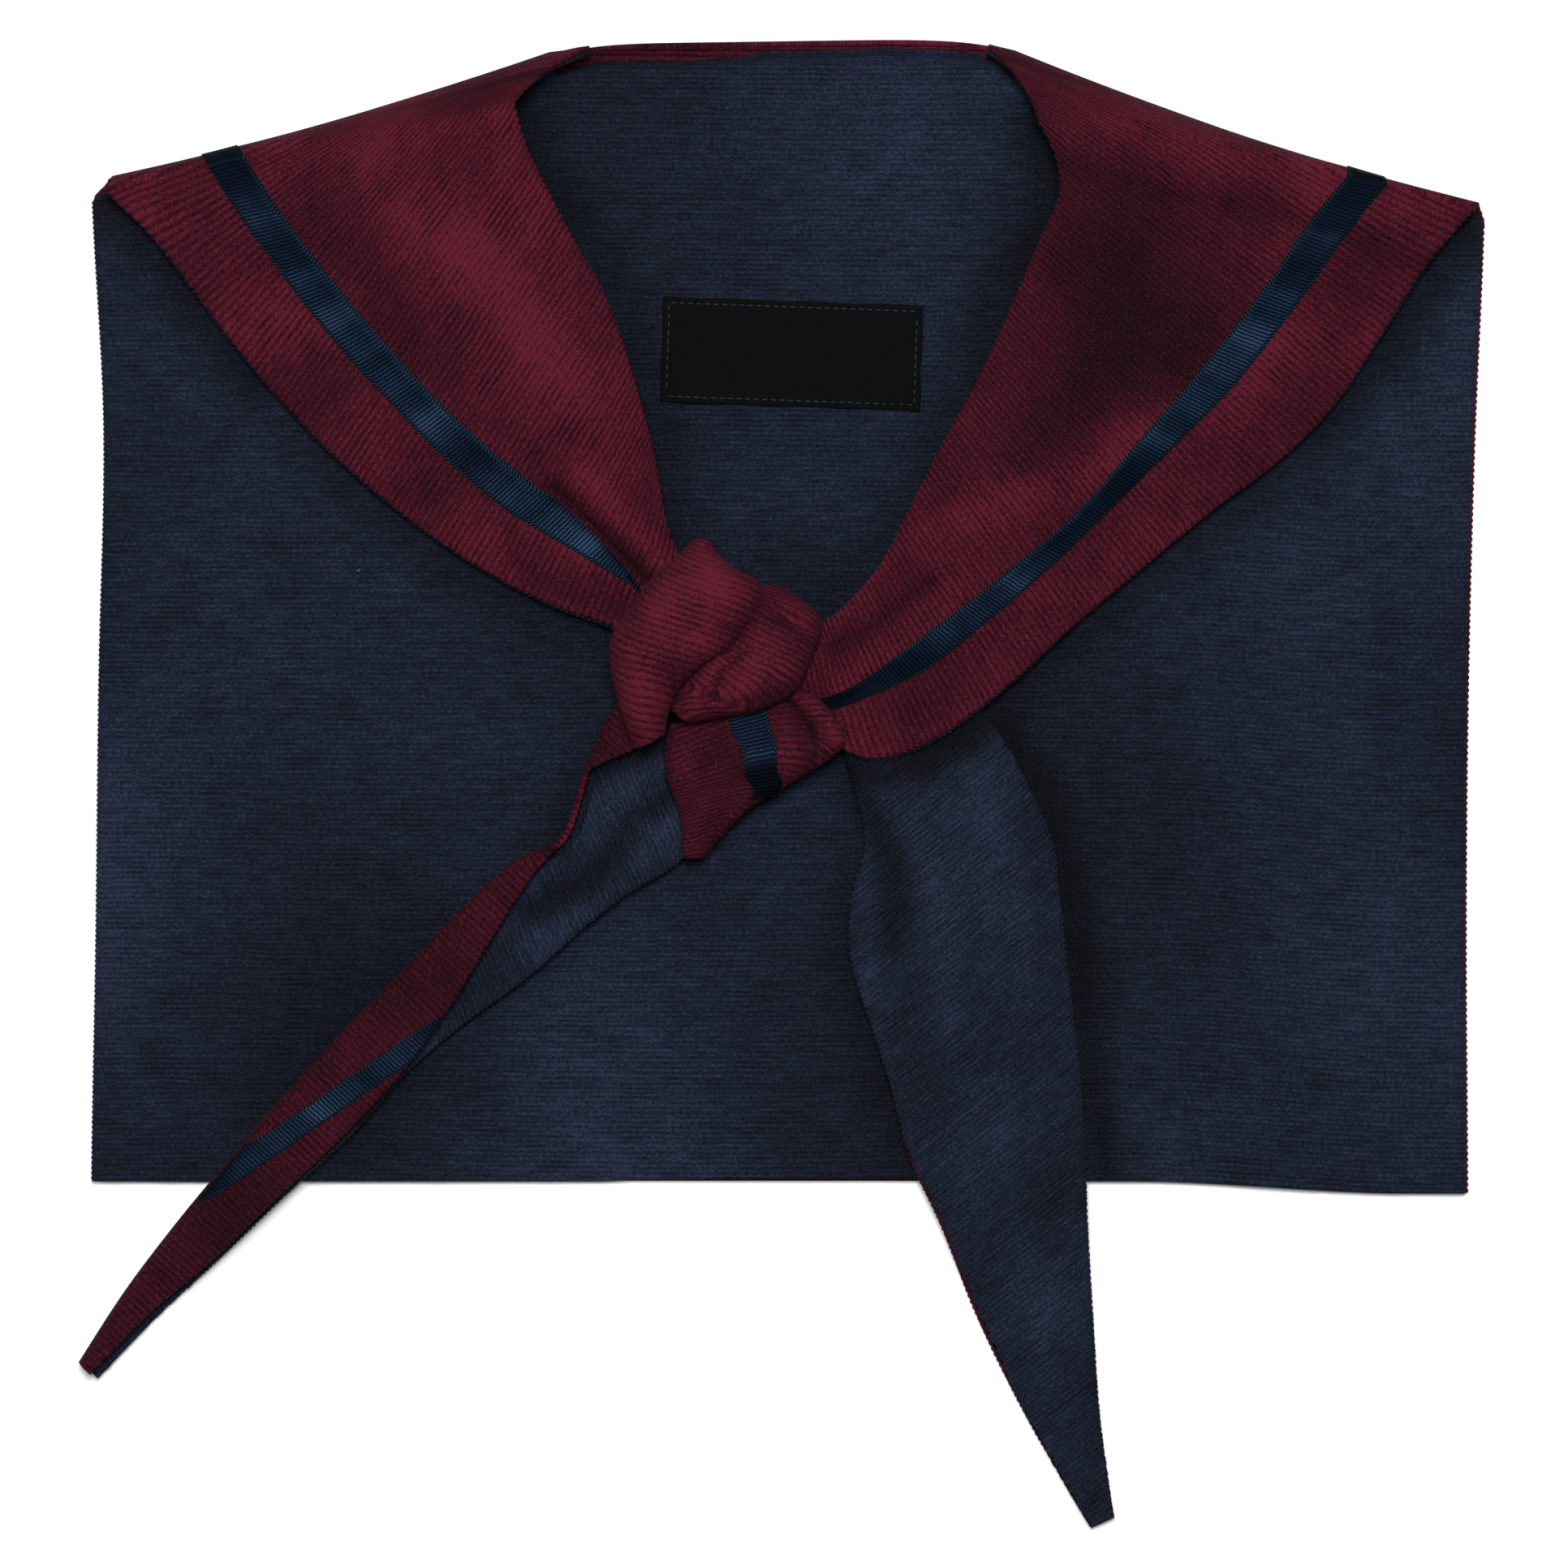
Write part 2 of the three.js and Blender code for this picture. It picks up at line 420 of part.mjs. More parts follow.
// A closed solid between two distances from a sheet, over the cells that are kept
function thickSheet({ points, normals }, [low, high], keep = () => true) {
  const positions = [];
  const index = [];
  const known = new Map();
  const vertex = ([r, c], isHigh) => {
    const key = `${r} ${c} ${isHigh}`;
    if (!known.has(key)) {
      known.set(key, positions.length / 3);
      positions.push(...points[r][c].clone().addScaledVector(normals[r][c], isHigh ? high : low));
    }
    return known.get(key);
  };
  const quad = (a, b, c, d) => index.push(a, b, c, a, c, d);
  const cornersOf = (r, c) => [[r, c], [r, c + 1], [r + 1, c + 1], [r + 1, c]];
  const isCell = (r, c) => keep(r, c) && cornersOf(r, c).every(([i, k]) => points[i]?.[k]);
  for (let r = 0; r < points.length - 1; r++) {
    for (let c = 0; c < points[0].length - 1; c++) {
      if (!isCell(r, c)) continue;
      const corners = cornersOf(r, c);
      const beyond = [[r - 1, c], [r, c + 1], [r + 1, c], [r, c - 1]];
      quad(...corners.map((at) => vertex(at, true)));
      quad(...[0, 3, 2, 1].map((n) => vertex(corners[n], false)));
      corners.forEach((at, n) => {
        const next = corners[(n + 1) % 4];
        if (!isCell(...beyond[n])) {
          quad(vertex(at, false), vertex(next, false), vertex(next, true), vertex(at, true));
        }
      });
    }
  }
  const geometry = new THREE.BufferGeometry();
  geometry.setAttribute("position", new THREE.Float32BufferAttribute(positions, 3));
  geometry.setIndex(index);
  geometry.computeVertexNormals();
  return geometry;
}

// Materials
const burgundyCord = new THREE.MeshStandardMaterial({ color: 0x5a1626, roughness: 0.95, metalness: 0 });
const navyCord = new THREE.MeshStandardMaterial({ color: 0x1a2238, roughness: 0.95, metalness: 0 });
const navyRibbon = new THREE.MeshStandardMaterial({ color: 0x22365a, roughness: 0.6, metalness: 0 });
const blackSatin = new THREE.MeshStandardMaterial({ color: 0x0c0d12, roughness: 0.7, metalness: 0 });

const collar = new THREE.Group();

function addPiece(name, geometry, material) {
  const mesh = new THREE.Mesh(geometry, material.clone());
  mesh.name = name;
  collar.add(mesh);
  return mesh;
}

// The back panel, its lining a little smaller all round
function makeBack() {
  const grid = panelGrid();
  const sheet = sheetOf(grid, grid.length - neckRollRows);
  let lining = trimmed(sheet, "first", edgeLap);
  lining = trimmed(lining, "left", edgeLap);
  lining = trimmed(lining, "right", edgeLap);
  const lap = (r, c) => mix(leftNeckLap, rightNeckLap, c / grid[0].length);
  lining = trimmed(lining, "last", (r, c) => (r === grid.length - 1 ? lap(r, c) : 0));
  addPiece("back_outer", thickSheet(sheet, outerLayer), burgundyCord);
  addPiece("back_lining", thickSheet(lining, liningLayer), navyCord);
}

// One front, from under its shoulder roll to the knot, with its stripe
function makeFront(front, name) {
  const sheet = sheetOf(frontGrid(front), 1);
  const lap = (r) => mix(edgeLap, -frontLap, smooth(r / rollRows));
  const lining = trimmed(sheet, front.side < 0 ? "left" : "right", lap);
  const nearRibbon = frontAcross.indexOf(1);
  const ribbonColumn = front.side < 0 ? nearRibbon : frontAcross.length - 2 - nearRibbon;
  addPiece(`front_${name}_outer`, thickSheet(sheet, outerLayer), burgundyCord);
  addPiece(`front_${name}_lining`, thickSheet(lining, liningLayer), navyCord);
  const stripe = thickSheet(sheet, ribbonLayer, (r, c) => c === ribbonColumn);
  addPiece(`ribbon_front_${name}`, stripe, navyRibbon);
}

// The stripe under the panel: up one side, across the bottom and up the other, with mitred corners
function makeBackRibbon() {
  const line = (offset) => {
    const x = halfPanel - ribbonInset + offset;
    const y = ribbonInset - offset;
    const top = (front) => rollPoint(front, 0, offset > 0 ? 1 : 2).y - gap;
    return [[-x, top(leftFront)], [-x, y], [x, y], [x, top(rightFront)]].map(
      ([px, py]) => new THREE.Vector3(px, py, panelLevel + ribbonRaise));
  };
  const sheet = sheetOf([line(ribbonWidth / 2), line(-ribbonWidth / 2)]);
  addPiece("ribbon_back", thickSheet(sheet, ribbonLayer), navyRibbon);
}

// The bare label, laid on the lining under the back of the neck
function makeLabel() {
  const turn = THREE.MathUtils.degToRad(labelTilt);
  const corner = (sx, sy) =>
    new THREE.Vector3((sx * labelWidth) / 2, (sy * labelHeight) / 2, panelLevel)
      .applyAxisAngle(new THREE.Vector3(0, 0, 1), turn)
      .add(new THREE.Vector3(labelShift, neckHeight - labelDrop, 0));
  const sheet = sheetOf([-1, 1].map((sy) => [-1, 1].map((sx) => corner(sx, sy))));
  addPiece("label", thickSheet(sheet, labelLayer), blackSatin);
}

// The knot's middle, from which its bands and the tails are measured
const knotX = knotShift;
const knotY = knotRise;

// Point of a band of the knot: t along it, s across it over a half-round crown
function bandPoint(sections, t, s) {
  const at = (column) => between(sections, column, t);
  const place = (name) =>
    new THREE.Vector2(knotX + (at(name + "X") * knotWidth) / 2, knotY + (at(name + "Y") * knotLength) / 2);
  const [left, right] = [place("left"), place("right")];
  const inset = right.clone().sub(left).setLength(-outerLayer[0]);
  const across = (1 - Math.cos(Math.PI * s)) / 2;
  const p = left.add(inset).lerp(right.sub(inset), across);
  const edgeZ = mix(at("leftZ"), at("rightZ"), across);
  const z = edgeZ + (at("crown") - edgeZ) * Math.sin(Math.PI * s);
  return new THREE.Vector3(p.x, p.y, frontLevel + knotHeight * z);
}

// A band's sheet, its rows going down and its columns to the right, which puts its outer cloth on top
function bandSheet(sections, rows) {
  return sheetOf(steps(rows).map((t) => steps(bandAcross).map((s) => bandPoint(sections, t, s))));
}

// The knot: the band over its top, the second fold beside it, the flap below with its bit of ribbon,
// and the gathered cloth inside
function makeKnot() {
  addPiece("knot_wrap", thickSheet(bandSheet(wrapSections, wrapRows), doubleLayer), burgundyCord);
  addPiece("knot_fold", thickSheet(bandSheet(foldSections, foldRows), doubleLayer), burgundyCord);
  addPiece("knot_flap", thickSheet(bandSheet(flapSections, flapRows), doubleLayer), burgundyCord);
  const ribbonPoint = (t, across) => {
    const s = mix(between(flapRibbon, "left", t), between(flapRibbon, "right", t), across);
    return bandPoint(flapSections, mix(flapRibbonFrom, flapRibbonUntil, t), s);
  };
  const ribbon = steps(flapRibbonRows).map((t) => steps(2).map((across) => ribbonPoint(t, across)));
  const clearLayer = ribbonLayer.map((distance) => distance - gap);
  addPiece("knot_flap_ribbon", thickSheet(sheetOf(ribbon), clearLayer), navyRibbon);
  const core = new THREE.SphereGeometry(0.5, 16, 10);
  core.scale(knotWidth * coreWidth, knotLength * coreLength, knotHeight * coreHeight);
  const coreZ = frontLevel + knotHeight * coreMiddle;
  core.translate(knotX + knotWidth * coreShift, knotY + knotLength * coreRise, coreZ);
  addPiece("knot_core", core, burgundyCord);
}

// Height of a tail's middle surface: on the panel, or down on the ground past its bottom edge
function tailZ(x, y, lift) {
  const past = bottomY(x) - y - stepStart;
  return mix(tailLevel, panelLevel, smooth(past / stepDown)) + frontLoft * lift;
}

// Place on a tail, from lengths along it and across it
function tailPlace(angle, along, across) {
  const turn = THREE.MathUtils.degToRad(angle);
  const [dx, dy] = [Math.cos(turn), Math.sin(turn)];
  return new THREE.Vector2(knotX + dx * along - dy * across, knotY + dy * along + dx * across);
}

// The right tail, lining up
function makeRightTail() {
  const rows = steps(rightTailRows).reverse().map((t) => {
    const at = (column) => between(rightTailSections, column, t);
    const place = (name) =>
      tailPlace(rightTailAngle, at(name + "Along") * rightTailLength, at(name) * rightTailWidth);
    return steps(6).map((s) => {
      const p = place("left").lerp(place("right"), s);
      const lift = at("lift") * Math.sin(Math.PI * s);
      return new THREE.Vector3(p.x, p.y, tailZ(p.x, p.y, lift));
    });
  });
  const sheet = sheetOf(rows);
  addPiece("tail_right_outer", thickSheet(sheet, outerLayer), burgundyCord);
  addPiece("tail_right_lining", thickSheet(trimmed(sheet, "left", edgeLap), liningLayer), navyCord);
}

// One row across the left tail: over the flap from its free edge, round the fold and over the base
function leftTailRow(t) {
  const at = (column) => between(leftTailSections, column, t);
  const along = at("along") * leftTailLength;
  const foldMiddle = at("left") * leftTailWidth - outerLayer[0] + tailFoldRadius;
  const flapEnd = Math.max(at("flap") * leftTailWidth, foldMiddle + tailFoldRadius / 4);
  const rightEnd = at("right") * leftTailWidth;
  const round = steps(4).map((s) => {
    const turn = Math.PI * s;
    return [foldMiddle - tailFoldRadius * Math.sin(turn), tailFoldRadius * (1 + Math.cos(turn))];
  });
  const flap = [1, 0.5].map((s) => [mix(foldMiddle, flapEnd, s), 2 * tailFoldRadius]);
  const base = baseShares.map((s) => [mix(foldMiddle, rightEnd, s), 0]);
  const bulge = (across) =>
    Math.sin(Math.PI * Math.min(Math.max((across - foldMiddle) / (rightEnd - foldMiddle), 0), 1));
  return [...flap, ...round, ...base].map(([across, up]) => {
    const p = tailPlace(leftTailAngle, along, across);
    return new THREE.Vector3(p.x, p.y, tailZ(p.x, p.y, at("lift") * bulge(across)) + up);
  });
}

// One row of the ribbon that crosses the flap of the left tail, from its free edge to the fold
function leftTailRibbonRow(t) {
  const { fromAlong, fromAcross, toAlong, toAcross } = leftTailRibbon;
  const at = (column) => between(leftTailSections, column, t);
  const share = (at("along") - fromAlong) / (toAlong - fromAlong);
  const middle = mix(fromAcross, toAcross, share) * leftTailWidth;
  const foldMiddle = at("left") * leftTailWidth - outerLayer[0] + tailFoldRadius;
  const right = Math.min(middle + ribbonWidth / 2, at("flap") * leftTailWidth - gap);
  const left = Math.max(middle - ribbonWidth / 2, foldMiddle);
  return [right, left].map((across) => {
    const p = tailPlace(leftTailAngle, at("along") * leftTailLength, across);
    return new THREE.Vector3(p.x, p.y, tailZ(p.x, p.y, 0) + 2 * tailFoldRadius);
  });
}

// The left tail, folded over on itself along its left side, with the ribbon over the fold
function makeLeftTail() {
  const rows = steps(leftTailRows).reverse();
  const sheet = sheetOf(rows.map(leftTailRow));
  addPiece("tail_left_outer", thickSheet(sheet, outerLayer), burgundyCord);
  addPiece("tail_left_lining", thickSheet(sheet, liningLayer), navyCord);
  const { fromT, toT } = leftTailRibbon;
  const ribbonRows = [toT, ...rows.filter((t) => t > fromT && t < toT), fromT];
  const ribbon = sheetOf(ribbonRows.map(leftTailRibbonRow));
  addPiece("tail_left_ribbon", thickSheet(ribbon, ribbonLayer), navyRibbon);
}

makeBack();
makeFront(leftFront, "left");
makeFront(rightFront, "right");
makeBackRibbon();
makeLabel();
makeKnot();
makeLeftTail();
makeRightTail();

// The origin goes to the middle of the collar's outline, on the surface it lies on
const outline = new THREE.Box3().setFromObject(collar);
const middle = outline.getCenter(new THREE.Vector3());
collar.children.forEach((mesh) => mesh.geometry.translate(-middle.x, -middle.y, -outline.min.z));

export default collar;
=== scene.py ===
import math

import bpy
import numpy as np
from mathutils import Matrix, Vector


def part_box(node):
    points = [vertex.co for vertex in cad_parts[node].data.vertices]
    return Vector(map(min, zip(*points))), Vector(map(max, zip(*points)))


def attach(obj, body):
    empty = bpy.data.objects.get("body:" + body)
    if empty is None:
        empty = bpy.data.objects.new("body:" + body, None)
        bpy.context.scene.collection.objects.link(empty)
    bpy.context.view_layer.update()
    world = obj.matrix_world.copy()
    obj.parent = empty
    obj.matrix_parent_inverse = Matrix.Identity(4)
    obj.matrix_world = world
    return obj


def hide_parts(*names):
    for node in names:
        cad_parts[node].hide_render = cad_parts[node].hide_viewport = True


# Sailor collar of corduroy, tied and laid flat. Shapes are worked out in millimetres, from the middle of
# the back panel's bottom edge: x across, y towards the neck, z up. They go into the frame at the end.

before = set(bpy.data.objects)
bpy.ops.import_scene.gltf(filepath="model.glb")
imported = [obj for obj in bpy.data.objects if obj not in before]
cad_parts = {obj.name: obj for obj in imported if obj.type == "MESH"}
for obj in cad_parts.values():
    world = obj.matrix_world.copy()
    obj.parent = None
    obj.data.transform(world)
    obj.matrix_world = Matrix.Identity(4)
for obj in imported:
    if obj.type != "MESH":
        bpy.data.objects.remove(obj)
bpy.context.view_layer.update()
print("frame loaded:", len(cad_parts), "nodes")

cloth = {
    "outer": 1.3, "lining": 1.0, "ribbon": 0.6, "ribbonShown": 0.35, "ribbonWidth": 9, "space": 0.3,
    "solidRibbon": 7.4,  # the width of the ribbon in the frame
    "burgundyWale": 1.54, "navyWale": 1.24,
    "round": 0.3, "ribbonRound": 0.12,  # how far a cut edge and a ribbon's edge are rounded
    "creaseShade": 0.45,  # how much painted shade darkens a crease, and painted light lightens a ridge, per millimetre of its height
}
panel = {
    "width": 342, "neckHeight": 281, "neckWidth": 112, "neckDip": 1.5, "neckCornerDip": 3, "foldBulge": 0.08,
    "leftNeckLower": 1.3, "rightNeckLower": 0.5, "neckLowerOver": 80, "neckStep": 1.1,
    "foldLower": [3.2, 2.7], "foldLowerFrom": 0.4,
    "sideSway": 3.5, "swayFrom": 150, "bottomSag": 3, "sagFrom": 0.5, "sagUntil": 0.9,
    "ribbonInset": 31, "ribbonRamp": 5,
    "edgeLap": 0.8, "leftNeckLap": 3.6, "rightNeckLap": 1.5, "neckLapOver": 14, "frontLap": 0.6,
    "rimFrom": -37, "rimUntil": 33, "rimFade": 6, "liningOut": 0.1,
    "leftSway": [0.1, 0.4, 0.6, 0.95, 0.1], "rightSway": [0.7, 0.8, 0.65, 0.2, -0.5],
    "rowStep": 0.46, "ripple": 0.21, "tooth": 0.42,
}
halfPanel, halfNeck = panel["width"] / 2, panel["neckWidth"] / 2
halfRibbon = cloth["ribbonWidth"] / 2
outerLayer = (-cloth["space"] / 2 - cloth["outer"], -0.02)
liningLayer = (0.02, cloth["space"] / 2 + cloth["lining"])
ribbonLayer = (outerLayer[0] - cloth["ribbonShown"], outerLayer[0] + 0.1)
panelLevel = -outerLayer[0]
frontLevel = panelLevel + liningLayer[1] + cloth["space"] + liningLayer[1]
ribbonRaise = cloth["ribbon"] + cloth["space"]
tailLevel = panelLevel + liningLayer[1] + ribbonRaise + cloth["space"] - outerLayer[0]
# the unevenness of each piece
waves = {
    "front": {"size": 26, "strength": 0.25, "seed": 5},
    "frontNap": {"size": 34, "strength": 0.35, "seed": 8},
    "panelWale": {"size": 160, "strength": 0.5, "seed": 3},
    "panelNap": {"size": 90, "strength": 0.5, "seed": 4},
    "panelLift": {"size": 70, "strength": 0.5, "seed": 11},
    "label": {"size": 18, "strength": 0.12, "seed": 21},
    "bandNap": {"size": 16, "strength": 0.5, "seed": 31},
    "rightTailNap": {"size": 40, "strength": 0.4, "seed": 41},
    "leftTailNap": {"size": 36, "strength": 0.4, "seed": 51},
}

# Where the millimetres go in the frame, read off the ribbon under the panel
ribbonLow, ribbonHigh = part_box("ribbon_back")
frameShift = np.array([
    (ribbonLow.x + ribbonHigh.x) / 2,
    ribbonLow.y - (panel["ribbonInset"] - cloth["solidRibbon"] / 2) / 1000,
    0.0,
])


# Curves and tables

def between(column, t):
    # smooth value of evenly spaced numbers, at t from 0 to 1
    column = np.asarray(column, float)
    place = np.clip(t, 0, 1) * (len(column) - 1)
    i = np.minimum(place.astype(int), len(column) - 2)
    u = place - i
    a, b, c, d = (column[np.clip(i + k, 0, len(column) - 1)] for k in (-1, 0, 1, 2))
    return b + 0.5 * u * (c - a + u * (2 * a - 5 * b + 4 * c - d + u * (3 * (b - c) + d - a)))


def mix(a, b, t):
    return a + (b - a) * t


def smooth(t):
    u = np.clip(t, 0, 1)
    return u * u * (3 - 2 * u)


def unit(v):
    return v / np.maximum(np.linalg.norm(v, axis=-1, keepdims=True), 1e-9)


def stack(*parts):
    return np.stack(np.broadcast_arrays(*parts), axis=-1)


def ripple(x, y, wave):
    # gentle unevenness from a few crossed waves, about as high as its strength
    size = waves[wave]["size"]
    dice = np.random.default_rng(waves[wave]["seed"])
    total = 0
    for _ in range(6):
        angle, phase = dice.uniform(0, 2 * math.pi, 2)
        length = size * dice.uniform(0.7, 1.6)
        total = total + np.sin((x * math.cos(angle) + y * math.sin(angle)) * 2 * math.pi / length + phase)
    return total / 3 * waves[wave]["strength"]


def foldHeight(x, y, folds):
    # ridges and furrows along lines, each with its height and width
    total = np.zeros(np.broadcast(x, y).shape)
    for fold in folds:
        line = np.array(fold["line"], float)
        nearest = np.full(total.shape, 1e9)
        for p, q in zip(line[:-1], line[1:]):
            d = q - p
            s = np.clip(((x - p[0]) * d[0] + (y - p[1]) * d[1]) / (d @ d), 0, 1)
            nearest = np.minimum(nearest, np.hypot(x - p[0] - s * d[0], y - p[1] - s * d[1]))
        total += fold["height"] * np.exp(-((nearest / fold["width"]) ** 2))
    return total


def rippleOn(points, wave):
    return ripple(points[..., 0], points[..., 1], wave)


def foldsOn(points, folds):
    return foldHeight(points[..., 0], points[..., 1], folds)


def arcAlong(points):
    # lengths down the columns of a grid, or along a line
    step = np.linalg.norm(np.diff(points, axis=0, prepend=points[:1]), axis=-1)
    return np.cumsum(step, axis=0)


def ribbonRise(fromMiddle):
    return ribbonRaise * (1 - smooth((np.abs(fromMiddle) - halfRibbon) / panel["ribbonRamp"]))


def acrossStrip(edge, ribbon, neck, a, wide=1.0, show=1.0):
    # a from 0 to 1 goes from the edge to the ribbon, 1 to 2 over what shows of it, 2 to 3 on to the neck
    near = ribbon + unit(edge - ribbon) * halfRibbon * wide
    far = ribbon + unit(neck - ribbon) * halfRibbon * wide * show
    a = a[..., None]
    first = mix(edge, near, np.clip(a, 0, 1))
    second = mix(near, far, np.clip(a - 1, 0, 1))
    third = mix(far, neck, np.clip(a - 2, 0, 1))
    return np.where(a <= 1, first, np.where(a <= 2, second, third))


# Meshes

def meshObject(name, points, quads, values):
    mesh = bpy.data.meshes.new(name)
    mesh.vertices.add(len(points))
    mesh.vertices.foreach_set("co", (points / 1000 + frameShift).astype(np.float32).ravel())
    mesh.loops.add(quads.size)
    mesh.loops.foreach_set("vertex_index", quads.astype(np.int32).ravel())
    mesh.polygons.add(len(quads))
    mesh.polygons.foreach_set("loop_start", np.arange(0, quads.size, 4, dtype=np.int32))
    mesh.update(calc_edges=True)
    mesh.validate()
    mesh.polygons.foreach_set("use_smooth", np.ones(len(mesh.polygons), bool))
    for key, value in values.items():
        mesh.attributes.new(key, "FLOAT", "POINT").data.foreach_set("value", value.astype(np.float32))
    piece = bpy.data.objects.new(name, mesh)
    bpy.context.scene.collection.objects.link(piece)
    return piece


def normalsOf(points):
    across = np.gradient(points, axis=1)
    along = np.gradient(points, axis=0)
    return unit(np.cross(across, along))


def clothPiece(name, points, layer, values, keep=None, edgeRound=None, normals=None):
    # closed cloth between two distances from a grid of points, with rounded cut edges
    rows, columns = points.shape[:2]
    normals = normalsOf(points) if normals is None else normals
    keep = np.ones((rows - 1, columns - 1), bool) if keep is None else keep
    edgeRound = cloth["round"] if edgeRound is None else edgeRound
    number = np.arange(rows * columns).reshape(rows, columns)
    cells = np.stack([number[:-1, :-1], number[:-1, 1:], number[1:, 1:], number[1:, :-1]], axis=-1)[keep]
    flat, flatNormals = points.reshape(-1, 3), normals.reshape(-1, 3)
    inward, count = np.zeros_like(flat), np.zeros(len(flat))
    centres = flat[cells].mean(axis=1)
    for corner in range(4):
        np.add.at(inward, cells[:, corner], centres)
        np.add.at(count, cells[:, corner], 1)
    inward = unit(inward / np.maximum(count, 1)[:, None] - flat)
    edges = np.concatenate([cells[:, [k, (k + 1) % 4]] for k in range(4)])
    forward = edges[:, 0] * len(flat) + edges[:, 1]
    backward = edges[:, 1] * len(flat) + edges[:, 0]
    border = edges[~np.isin(forward, backward)]
    rim = np.unique(border)
    isRim = np.zeros(len(flat), bool)
    isRim[rim] = True
    pull = np.where(isRim, edgeRound, 0)[:, None] * inward
    low, high = layer
    top = flat + flatNormals * high + pull
    bottom = flat + flatNormals * low + pull
    ring = flat[rim] + flatNormals[rim] * (low + high) / 2
    place = np.full(len(flat), -1)
    used = np.unique(cells)
    place[used] = np.arange(len(used))
    ringPlace = np.full(len(flat), -1)
    ringPlace[rim] = np.arange(len(rim)) + 2 * len(used)
    topCells = place[cells]
    bottomCells = place[cells][:, [0, 3, 2, 1]] + len(used)
    v, w = border[:, 0], border[:, 1]
    upper = np.stack([ringPlace[v], ringPlace[w], place[w], place[v]], axis=-1)
    lower = np.stack([place[v] + len(used), place[w] + len(used), ringPlace[w], ringPlace[v]], axis=-1)
    every = np.concatenate([top[used], bottom[used], ring])
    made = {}
    # how far each surface tilts from lying flat, for painted shade on surfaces that turn away from the lamp
    values = {**values, "turned": 1 - np.abs(normals[..., 2])}
    for key, value in values.items():
        value = np.broadcast_to(value, (rows, columns)).ravel()
        made[key] = np.concatenate([value[used], value[used], value[rim]])
    return meshObject(name, every, np.concatenate([topCells, bottomCells, upper, lower]), made)


def declareSheet(piece, points, held, *restsOn, keep=None, withPieces=()):
    # works out the cloth's flat size along its rows and columns and its area over all cells, and keeps none
    # of them
    first = np.cross(points[1:, 1:] - points[:-1, :-1], points[1:, :-1] - points[:-1, 1:])
    cells = np.linalg.norm(first, axis=-1) / 2
    area = (cells if keep is None else cells[keep]).sum() / 1e6
    width = arcAlong(points.transpose(1, 0, 2))[-1].max() / 1000
    length = arcAlong(points)[-1].max() / 1000
    list(withPieces)


def finishPiece(piece, material, slot, *nodes):
    piece.data.materials.append(material)
    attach(piece, "root")
    if nodes:
        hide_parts(*nodes)
    return piece


# Shader maths

class Signal:
    def __init__(self, shader, socket):
        self.shader, self.socket = shader, socket

    def __add__(self, other):
        return self.shader.maths("ADD", self, other)

    __radd__ = __add__

    def __sub__(self, other):
        return self.shader.maths("SUBTRACT", self, other)

    def __rsub__(self, other):
        return self.shader.maths("SUBTRACT", other, self)

    def __mul__(self, other):
        return self.shader.maths("MULTIPLY", self, other)

    __rmul__ = __mul__

    def __truediv__(self, other):
        return self.shader.maths("DIVIDE", self, other)

    def __pow__(self, other):
        return self.shader.maths("POWER", self, other)


class Shader:
    def __init__(self, name):
        self.material = bpy.data.materials.new(name)
        self.material.use_nodes = True
        self.tree = self.material.node_tree
        self.tree.nodes.clear()

    def node(self, kind, settings=None, output=0, **inputs):
        made = self.tree.nodes.new(kind)
        for key, value in (settings or {}).items():
            if key == "stops":
                ramp = made.color_ramp.elements
                for _ in range(len(value) - 2):
                    ramp.new(0.5)
                for element, (position, colour) in zip(ramp, value):
                    element.position, element.color = position, colour
            else:
                setattr(made, key, value)
        for key, value in inputs.items():
            socket = made.inputs[int(key[1:])] if key[0] == "_" else made.inputs[key.replace("_", " ")]
            if isinstance(value, Signal):
                self.tree.links.new(value.socket, socket)
            else:
                socket.default_value = value
        return Signal(self, made.outputs[output]) if made.outputs else made

    def maths(self, operation, a, b=0.0):
        return self.node("ShaderNodeMath", {"operation": operation}, _0=a, _1=b)

    def value(self, name):
        return self.node("ShaderNodeAttribute", {"attribute_name": name}, output="Fac")

    def vector(self, x, y, z=0.0):
        return self.node("ShaderNodeCombineXYZ", X=x, Y=y, Z=z)

    def noise(self, vector, scale, detail=2.0, roughness=0.5):
        return self.node("ShaderNodeTexNoise", Vector=vector, Scale=scale, Detail=detail,
                         Roughness=roughness)

    def blend(self, a, b, share):
        return self.node("ShaderNodeMix", {"data_type": "RGBA"}, output=2, _0=share, _6=a, _7=b)

    def clamp(self, signal, low=0.0, high=1.0):
        return self.node("ShaderNodeClamp", Value=signal, Min=low, Max=high)

    def finish(self, colour, height, roughness, **constants):
        bump = self.node("ShaderNodeBump", Height=height, Distance=0.001, Strength=1.0)
        body = self.node("ShaderNodeBsdfPrincipled", Base_Color=colour, Roughness=roughness, Normal=bump,
                         **constants)
        self.node("ShaderNodeOutputMaterial", Surface=body)
        return self.material


def rgb(red, green, blue):
    # 0 to 255 as they look, to the shader's own light values
    return tuple((c / 255 / 12.92 if c < 11 else ((c / 255 + 0.055) / 1.055) ** 2.4)
                 for c in (red, green, blue)) + (1.0,)


